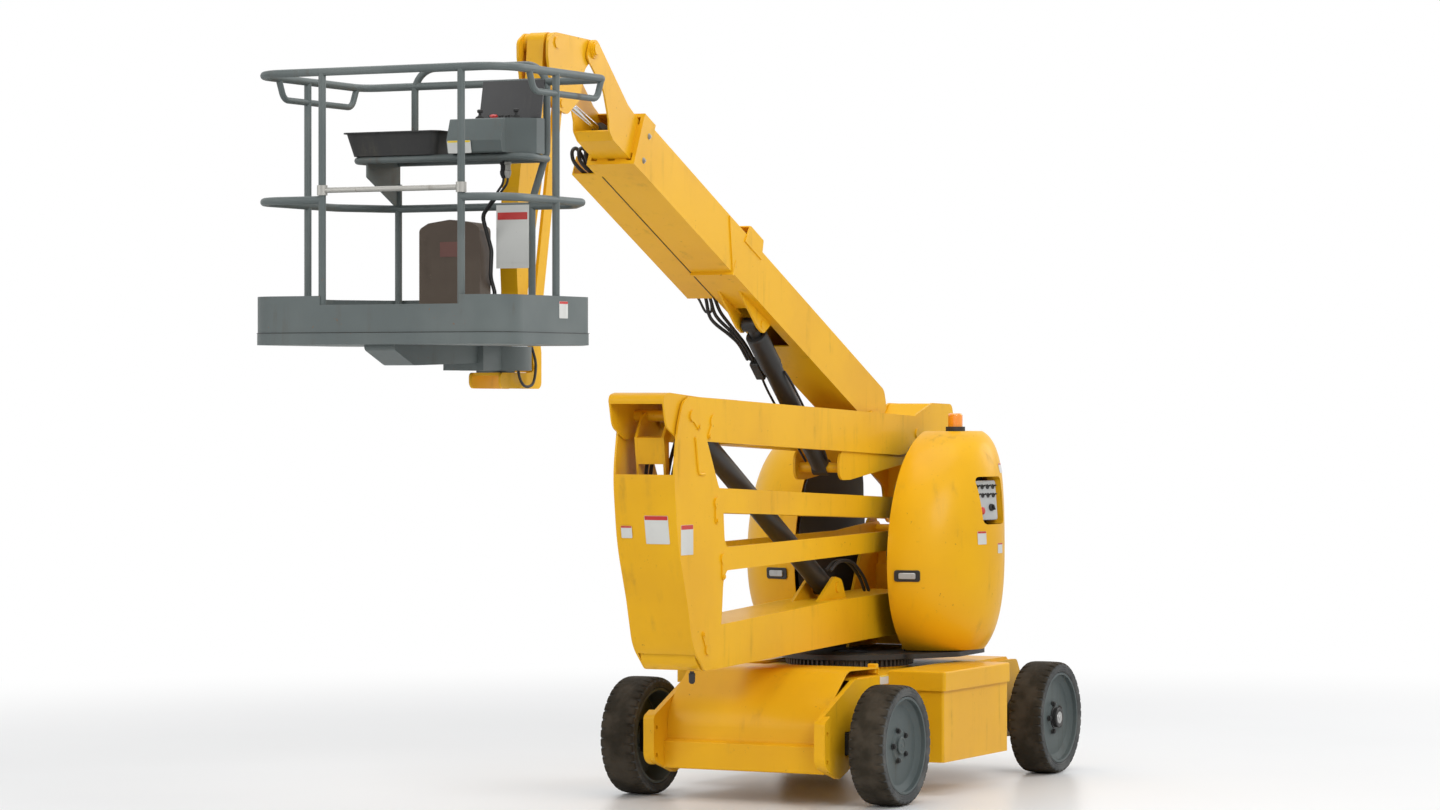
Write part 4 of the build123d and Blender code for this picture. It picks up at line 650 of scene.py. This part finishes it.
# blank plates with a coloured strip on top
plateLook = dict(
    thick=0.0010, strip=0.16,
    # name, body, centre, normal, up, width, height, header finish
    rows=(
        ("knee_plate", "knee", (2.1275, 0.053, 1.302), (0.985, 0, -0.174), (0, 0, 1), 0.118, 0.128, "signRed"),
        ("knee_small", "knee", (2.1293, -0.099, 1.291), (0.985, 0, -0.174), (0, 0, 1), 0.054, 0.055, "signRed"),
        ("knee_side", "knee", (2.033, 0.1541, 1.256), (0, 1, 0), (0, 0, 1), 0.118, 0.134, "signRed"),
        ("hood_low", "hood_left", (-0.324, 0.6612, 1.150), (-0.045, 1, 0.012), (0, 0, 1), 0.060, 0.050, "signRed"),
        ("hood_front", "hood_left", (-0.162, 0.6352, 1.204), (0.35, 0.93, 0.06), (0, 0, 1), 0.060, 0.064, "signRed"),
        ("hood_rear", "hood_left", (-0.435, 0.6141, 1.539), (-0.19, 0.96, 0.22), (0, 0, 1), 0.055, 0.048, "signRed"),
        ("hood_far", "hood_right", (-0.324, -0.6612, 1.150), (-0.045, -1, 0.012), (0, 0, 1), 0.110, 0.090, "signRed"),
        ("toe_plate", "basket", (3.973, 0.6022, 2.243), (0, 1, 0), (0, 0, 1), 0.070, 0.068, "signRed"),
        ("toe_far", "basket", (3.973, -0.6022, 2.243), (0, -1, 0), (0, 0, 1), 0.070, 0.068, "signRed"),
        ("frame_plate", "chassis", (0.505, 0.4202, 0.549), (0, 1, 0), (0, 0, 1), 0.105, 0.042, "signYellow"),
        ("console_plate", "basket", (3.8787, 0.066, 2.912), (0.98, 0, -0.2), (0, 0, 1), 0.110, 0.052, "signYellow"),
        ("sign_face", "basket", (3.5880, 0.149, 2.552), (1, 0, 0), (0, 0, 1), 0.146, 0.210, "signRed"),
        ("box_far", "battery_right", (0.300, -0.7002, 0.400), (0, -1, 0), (0, 0, 1), 0.110, 0.080, "signRed"),
    ),
)


def makePlates(look):
    for name, body, centre, normal, up, width, height, header in look["rows"]:
        normal = np.array(normal, float) / np.linalg.norm(normal)
        rise = np.array(up) - normal * np.dot(up, normal)
        rise /= np.linalg.norm(rise)
        tall = height * look["strip"]
        top = np.array(centre) + rise * (height - tall) / 2
        white = roundedPlate(centre, normal, up, (width, height, look["thick"]), 0.004, 0.0003)
        makePiece(name, body, "signWhite", "sign_white", white)
        strip = roundedPlate(top, normal, up, (width * 0.97, tall * 0.9, look["thick"] * 1.4), 0.003, 0.0003)
        makePiece(name + "_head", body, header, "sign_white", strip)


makePlates(plateLook)
makePiece(
    "document_patch", "basket", "boxPatch", "box_brown",
    roundedPlate((3.6432, -0.105, 2.505), (1, 0, 0), (0, 0, 1), (0.120, 0.062, 0.0010), 0.004, 0.0003),
)
print("plates made")


# control window in the left hood
windowLook = dict(
    lowX=-0.400, highX=-0.180, lowZ=1.268, highZ=1.500, corner=0.022, inside=0.5600, sheet=0.0045,
    centre=(-0.290, 0.598, 1.384), normal=(0.25, 0.965, 0.09), wide=0.178, tall=0.194, deep=0.046,
    skinX=(-0.400, -0.290, -0.180), skinLow=(0.6465, 0.6565, 0.6360), skinHigh=(0.6265, 0.6235, 0.5845),
)


def windowLoop(look, grow):
    # the rounded window outline, and the hood's skin over each of its points
    width, height = look["highX"] - look["lowX"] + 2 * grow, look["highZ"] - look["lowZ"] + 2 * grow
    loop = roundedLoop(width, height, look["corner"] + grow, 8)
    x = loop[:, 0] + (look["lowX"] + look["highX"]) / 2
    z = loop[:, 1] + (look["lowZ"] + look["highZ"]) / 2
    share = (z - look["lowZ"]) / (look["highZ"] - look["lowZ"])
    low = np.interp(x, look["skinX"], look["skinLow"])
    high = np.interp(x, look["skinX"], look["skinHigh"])
    return x, z, low + (high - low) * share**1.35


def pocketWall(look):
    # the outline carried from the panel out to the skin, then a lip that turns back
    x, z, skin = windowLoop(look, 0.0010)
    inner = skin - look["sheet"]
    inside, mid = np.full_like(x, look["inside"]), (inner - look["inside"]) * 0.5 + look["inside"]
    xs, zs, _ = windowLoop(look, 0.0050)
    rings = [(x, inside, z), (x, mid, z), (x, inner, z), (xs, inner, zs), (xs, inside, zs)]
    points = np.stack([np.stack(ring, -1) for ring in rings])
    return points.reshape(-1, 3), gridFaces(len(rings), len(x), True, True)


def panelPlace(look, across, up, lift=0.0):
    # centre + across * side + up * rise + lift * normal, with side towards the steered axle
    normal = np.array(look["normal"]) / np.linalg.norm(look["normal"])
    rise = np.array((0.0, 0.0, 1.0)) - normal * normal[2]
    rise /= np.linalg.norm(rise)
    return np.array(look["centre"]) + across * np.cross(normal, rise) + up * rise + lift * normal


def makeWindow(look):
    makePiece("window_pocket", "hood_left", "bodyYellow", "body_yellow", pocketWall(look))
    normal, deep = look["normal"], look["deep"]
    size = (look["wide"], look["tall"], deep)
    sheet = roundedPlate(panelPlace(look, 0, 0, -deep), normal, (0, 0, 1), size, 0.012, 0.002)
    makePiece("switch_panel", "turntable", "switchPanel", "basket_grey", sheet)
    collar = [(0, 0), (0, 0.0115), (0.004, 0.0115), (0.006, 0.009), (0.006, 0)]
    lever = [(0.005, 0), (0.005, 0.0036), (0.018, 0.0046), (0.024, 0.0040), (0.026, 0)]
    across, up = (grid.ravel() for grid in np.meshgrid((-0.063, -0.021, 0.021, 0.063), (0.066, 0.024)))
    collars = [turned(collar, panelPlace(look, a, b), normal, 20) for a, b in zip(across, up)]
    leaning = np.array(normal) + (0, 0, 0.28)
    levers = [turned(lever, panelPlace(look, a, b), leaning, 10) for a, b in zip(across, up)]
    keyPlace, stopPlace = panelPlace(look, -0.040, -0.036), panelPlace(look, 0.050, -0.052)
    barrel = turned([(0, 0), (0, 0.018), (0.009, 0.017), (0.012, 0.013), (0.012, 0)], keyPlace, normal, 24)
    bow = roundedPlate(
        panelPlace(look, -0.040, -0.036, 0.012), normal, (0.4, 0, 1), (0.007, 0.028, 0.012), 0.003, 0.001,
    )
    makePiece("panel_switches", "turntable", "blackPlastic", "black_plastic", *collars, *levers, barrel, bow)
    button = [(0, 0), (0, 0.014), (0.012, 0.014), (0.013, 0.019), (0.019, 0.019), (0.024, 0.013), (0.025, 0)]
    makePiece("panel_stop", "turntable", "stopRed", "black_plastic", turned(button, stopPlace, normal, 24))
    ring = turned([(0, 0), (0, 0.025), (0.002, 0.025), (0.003, 0.023), (0.003, 0)], stopPlace, normal, 28)
    makePiece("panel_stop_ring", "turntable", "signYellow", "black_plastic", ring)


makeWindow(windowLook)
print("control window made")


# latches of the hoods and the battery boxes
def hoodLatch(side):
    # a rounded tray, its dark floor, and a handle that bridges it
    y = 0.351 * side
    normal = (0.965, 0.245 * side, -0.08)
    centre = np.array((0.0935, y, 1.023))
    frameShape = roundedPlate(centre, normal, (0, 0, 1), (0.128, 0.056, 0.004), 0.012, 0.0015)
    body = "hood_left" if side > 0 else "hood_right"
    makePiece(f"latch_frame_{body}", body, "blackPlastic", "black_plastic", frameShape)
    unit = np.array(normal) / np.linalg.norm(normal)
    handle = roundedPlate(centre + unit * 0.004, normal, (0, 0, 1), (0.084, 0.030, 0.006), 0.007, 0.002)
    makePiece(f"latch_handle_{body}", body, "boltZinc", "black_steel", handle)


hoodLatch(1)
hoodLatch(-1)
latchLook = dict(
    x=0.4502, y=0.500, z=0.462,
    plate=(0.046, 0.105, 0.003), hook=(0.018, 0.090, 0.010), clip=(0.034, 0.018, 0.016),
)
for side, body in ((1, "battery_left"), (-1, "battery_right")):
    x, y, z = latchLook["x"], latchLook["y"] * side, latchLook["z"]
    plate = roundedPlate((x, y, z), (1, 0, 0), (0, 0, 1), latchLook["plate"], 0.005, 0.001)
    hook = roundedPlate((x + 0.003, y, z + 0.010), (1, 0, 0), (0, 0, 1), latchLook["hook"], 0.006, 0.002)
    clip = roundedPlate((x + 0.003, y, z - 0.040), (1, 0, 0), (0, 0, 1), latchLook["clip"], 0.005, 0.002)
    makePiece(f"box_latch_{body}", body, "latchRust", "black_steel", plate, clip)
    makePiece(f"box_hook_{body}", body, "boltZinc", "black_steel", hook)
print("latches made")


# hoses, each run between given ends and carried by one body
boomLine = dict(pivot=(-0.060, 1.765), turn=25.3)


def boomPoint(along, y, above):
    # pivot + along * (cos, sin) + above * (-sin, cos) of the boom's angle
    turn = np.radians(boomLine["turn"])
    return (
        boomLine["pivot"][0] + along * np.cos(turn) - above * np.sin(turn), y,
        boomLine["pivot"][1] + along * np.sin(turn) + above * np.cos(turn),
    )


hoseLook = dict(radius=0.0085, thin=0.0060, seam=0.0024)


def makeHoses(look):
    big, thin = look["radius"], look["thin"]
    hanging = []
    for k in range(3):
        y, drop = -0.135 - 0.022 * k, 0.016 * k
        hanging.append(tubeAlong(
            [boomPoint(1.52, y, 0.002), boomPoint(1.40, y, -0.002), boomPoint(1.315, y + 0.008, -0.045 - drop),
             (1.085 - drop, -0.098 - drop, 2.215 - drop), (0.985, -0.082 - drop, 2.140),
             (0.905, -0.076 - drop, 2.068)], big,
        ))
    hanging.append(tubeAlong(
        [boomPoint(1.47, -0.215, -0.004), boomPoint(1.385, -0.215, -0.012), boomPoint(1.335, -0.196, -0.050),
         boomPoint(1.345, -0.160, -0.052), boomPoint(1.400, -0.148, -0.012)], thin,
    ))
    makePiece("boom_hoses", "boom", "hoseRubber", "black_plastic", *hanging)
    loops = []
    for k in range(3):
        y = -0.135 - 0.034 * k
        loops.append(tubeAlong(
            [boomPoint(2.610, y, 0.024), boomPoint(2.690, y, 0.048), boomPoint(2.752, y, 0.052),
             boomPoint(2.778, y, 0.022),
             boomPoint(2.752, y, -0.008), boomPoint(2.690, y, -0.014), boomPoint(2.610, y, -0.006)], big,
        ))
    makePiece("tray_loops", "boom", "hoseRubber", "black_plastic", *loops)
    knee = []
    for k, y in enumerate((-0.070, -0.045, 0.045, 0.070)):
        bend = 0.012 * k
        knee.append(tubeAlong(
            [(1.770, y, 0.905), (1.880, y, 0.950), (1.985 + bend, y, 1.070), (2.020 + bend, y, 1.250),
             (2.010 + bend, y, 1.440), (1.990, y, 1.590), (1.930, y, 1.700)], big,
        ))
    makePiece("knee_hoses", "knee", "hoseRubber", "black_plastic", *knee)
    lift = [
        tubeAlong([(0.815, -0.078, 1.985), (0.740, -0.080, 1.915), (0.600, -0.074, 1.790), (0.460, -0.066, 1.660),
                   (0.375, -0.058, 1.580)], thin),
        tubeAlong([(0.830, 0.050, 2.010), (0.760, 0.060, 1.945), (0.560, 0.060, 1.768), (0.430, 0.058, 1.650),
                   (0.370, 0.052, 1.590)], thin),
    ]
    makePiece("lift_hoses", "lift_barrel", "hoseRubber", "black_plastic", *lift)
    foot = tubeAlong(
        [(3.440, 0.092, 2.060), (3.445, 0.098, 1.985), (3.400, 0.100, 1.940), (3.330, 0.100, 1.952),
         (3.300, 0.096, 2.030), (3.320, 0.090, 2.100)], thin,
    )
    makePiece("bracket_hose", "bracket", "hoseRubber", "black_plastic", foot)
    riser = [
        tubeAlong([(0.420, y, 1.060), (0.330, y, 1.095), (0.190, y, 1.090), (0.060, y, 1.020), (-0.010, y, 0.945)], big)
        for y in (0.075, 0.098)
    ]
    makePiece("riser_hoses", "lower_arm", "hoseRubber", "black_plastic", *riser)
    seam = tubeAlong([boomPoint(along, -0.1065, -0.0332) for along in (1.400, 1.800, 2.200, 2.640)], look["seam"], 8, 2)
    makePiece("tray_seam", "boom", "hoseRubber", "black_plastic", seam)


makeHoses(hoseLook)
print("hoses made")


# small fittings
def boltHead(centre, axis, radius=0.010, height=0.007):
    return nutShape(centre, axis, radius, height, radius * 1.35)


fittingLook = dict(
    # name, body, axis, places
    bolts=(
        ("collar_bolts", "boom", (0, 1, 0), [boomPoint(2.700, 0.1180, 0.010), boomPoint(2.700, 0.1180, 0.130)]),
        ("collar_bolts_far", "boom", (0, -1, 0), [boomPoint(2.700, -0.1180, 0.010), boomPoint(2.700, -0.1180, 0.130)]),
    ),
    liftFoot=(0.320, 0.0, 1.550), liftAxis=(0.748, 0.0, 0.6637),
    guard=(0.745, 0.952, 0.0497, 0.0522), sleeve=(0.330, 0.950, 0.0273),
    floor=dict(front=4.4543, rear=3.5477, half=0.6043, corner=0.150, chamfer=(0.215, 0.150), z=2.1510, line=0.0013),
)


def liftPoint(look, along, y=0.0, above=0.0):
    # foot + along * the cylinder's axis + above * the axis turned up a quarter
    foot, axis = look["liftFoot"], look["liftAxis"]
    return np.array((foot[0] + along * axis[0] - above * axis[2], y, foot[2] + along * axis[2] + above * axis[0]))


def liftDress(look):
    # a guard tube fixed under the rod's eye that slides over the barrel, the bright rod in it, and a valve block
    low, high, inner, outer = look["guard"]
    axis, reach = look["liftAxis"], high - low
    guard = turned(
        [(0, inner), (0, outer), (reach - 0.006, outer), (reach, outer - 0.004), (reach, 0.0285),
         (reach - 0.004, 0.0285), (reach - 0.004, inner), (0, inner)], liftPoint(look, low), axis, 40,
    )
    makePiece("lift_guard", "lift_rod", "blackSteel", "black_steel", guard)
    start, end, radius = look["sleeve"]
    bore, length = 0.0268, end - start
    outline = [(0, bore), (0, radius), (length, radius), (length, bore), (0, bore)]
    sleeve = turned(outline, liftPoint(look, start), axis, 40)
    makePiece("lift_chrome", "lift_rod", "rodChrome", "rod_chrome", sleeve)
    block = roundedPlate(liftPoint(look, 0.715, -0.0530), (0, -1, 0), axis, (0.052, 0.110, 0.044), 0.008, 0.003)
    ports = [turned([(0, 0), (0, 0.011), (0.012, 0.011), (0.012, 0.008), (0.020, 0.008), (0.020, 0)],
                    liftPoint(look, 0.770, -0.066 - 0.018 * k), axis, 6) for k in range(2)]
    makePiece("lift_valve", "lift_barrel", "blackSteel", "black_steel", block, *ports)


def floorSeam(look):
    # the floor's outline as straight runs and quarter arcs, a thin bead along it
    floor = look["floor"]
    front, rear, half, corner = floor["front"], floor["rear"], floor["half"], floor["corner"]
    a = np.linspace(0, np.pi / 2, 12)
    arc = np.stack([front - corner + corner * np.sin(a), half - corner + corner * np.cos(a)], 1)
    x = np.linspace(rear + floor["chamfer"][0], front - corner, 12)
    side = np.stack([x, np.full_like(x, half)], 1)
    start = np.array([[rear, 0.0], [rear, half - floor["chamfer"][1]]])
    near = np.vstack([start, side, arc[1:], [[front, 0.0]]])
    loop = np.vstack([near, (near * (1, -1))[::-1][1:]])
    line = np.column_stack([loop, np.full(len(loop), floor["z"])])
    return tubeAlong(line, floor["line"], 6, 1)


def makeFittings(look):
    for name, body, axis, places in look["bolts"]:
        makePiece(name, body, "boltZinc", "black_steel", *[boltHead(place, axis) for place in places])
    stick = [(0, 0), (0, 0.022), (0.003, 0.022), (0.007, 0.017), (0.010, 0.018), (0.013, 0.011), (0.018, 0.006),
             (0.026, 0.006), (0.029, 0.011), (0.037, 0.012), (0.041, 0.008), (0.042, 0)]
    sticks = [turned(stick, (3.745, y, 3.0298), (0, 0, 1), 20) for y in (0.085, 0.255)]
    columns, rows = np.meshgrid(np.linspace(0.125, 0.215, 4), (3.705, 3.735))
    toggle = [(0, 0), (0, 0.009), (0.003, 0.009), (0.004, 0.004), (0.016, 0.005), (0.019, 0)]
    toggles = [
        turned(toggle, (x, y, 3.0300), (0, 0, 1), 12)
        for y, x in zip(columns.ravel(), rows.ravel())
    ]
    makePiece("console_sticks", "basket", "blackPlastic", "black_plastic", *sticks, *toggles)
    stop = turned(
        [(0, 0), (0, 0.013), (0.006, 0.013), (0.007, 0.017), (0.013, 0.017), (0.017, 0.011), (0.018, 0)],
        (3.780, 0.170, 3.0286), (0, 0, 1), 24,
    )
    makePiece("console_stop", "basket", "stopRed", "black_plastic", stop)
    liftDress(look)
    makePiece("toe_seam", "basket", "hoseRubber", "black_plastic", floorSeam(look))
    kneeStop = turned(
        [(0, 0), (0, 0.010), (-0.006, 0.010), (-0.010, 0.015), (-0.048, 0.014), (-0.056, 0.008), (-0.057, 0)],
        (1.880, 0.100, 0.6612), (0, 0, 1), 16,
    )
    plug = [(0, 0), (0, 0.015), (-0.010, 0.015), (-0.012, 0.012), (-0.034, 0.012), (-0.036, 0.015),
            (-0.050, 0.014), (-0.066, 0.0075), (-0.066, 0)]
    plugs = [turned(plug, (3.710, y, 2.8555), (0, 0, 1), 16) for y in (0.196, 0.176)]
    makePiece("cable_plugs", "basket", "barAluminium", "basket_grey", plugs[0])
    makePiece("cable_gland", "basket", "hoseRubber", "black_plastic", plugs[1])
    makePiece("knee_stop", "knee", "hoseRubber", "black_plastic", kneeStop)
    lug = roundedPlate((0.560, 0.385, 0.5830), (0, 0, 1), (1, 0, 0), (0.044, 0.034, 0.044), 0.006, 0.003)
    makePiece("deck_lug", "chassis", "bodyYellow", "body_yellow", lug)


makeFittings(fittingLook)
print("fittings made")


# bring the scene's transforms up to date
bpy.context.view_layer.update()
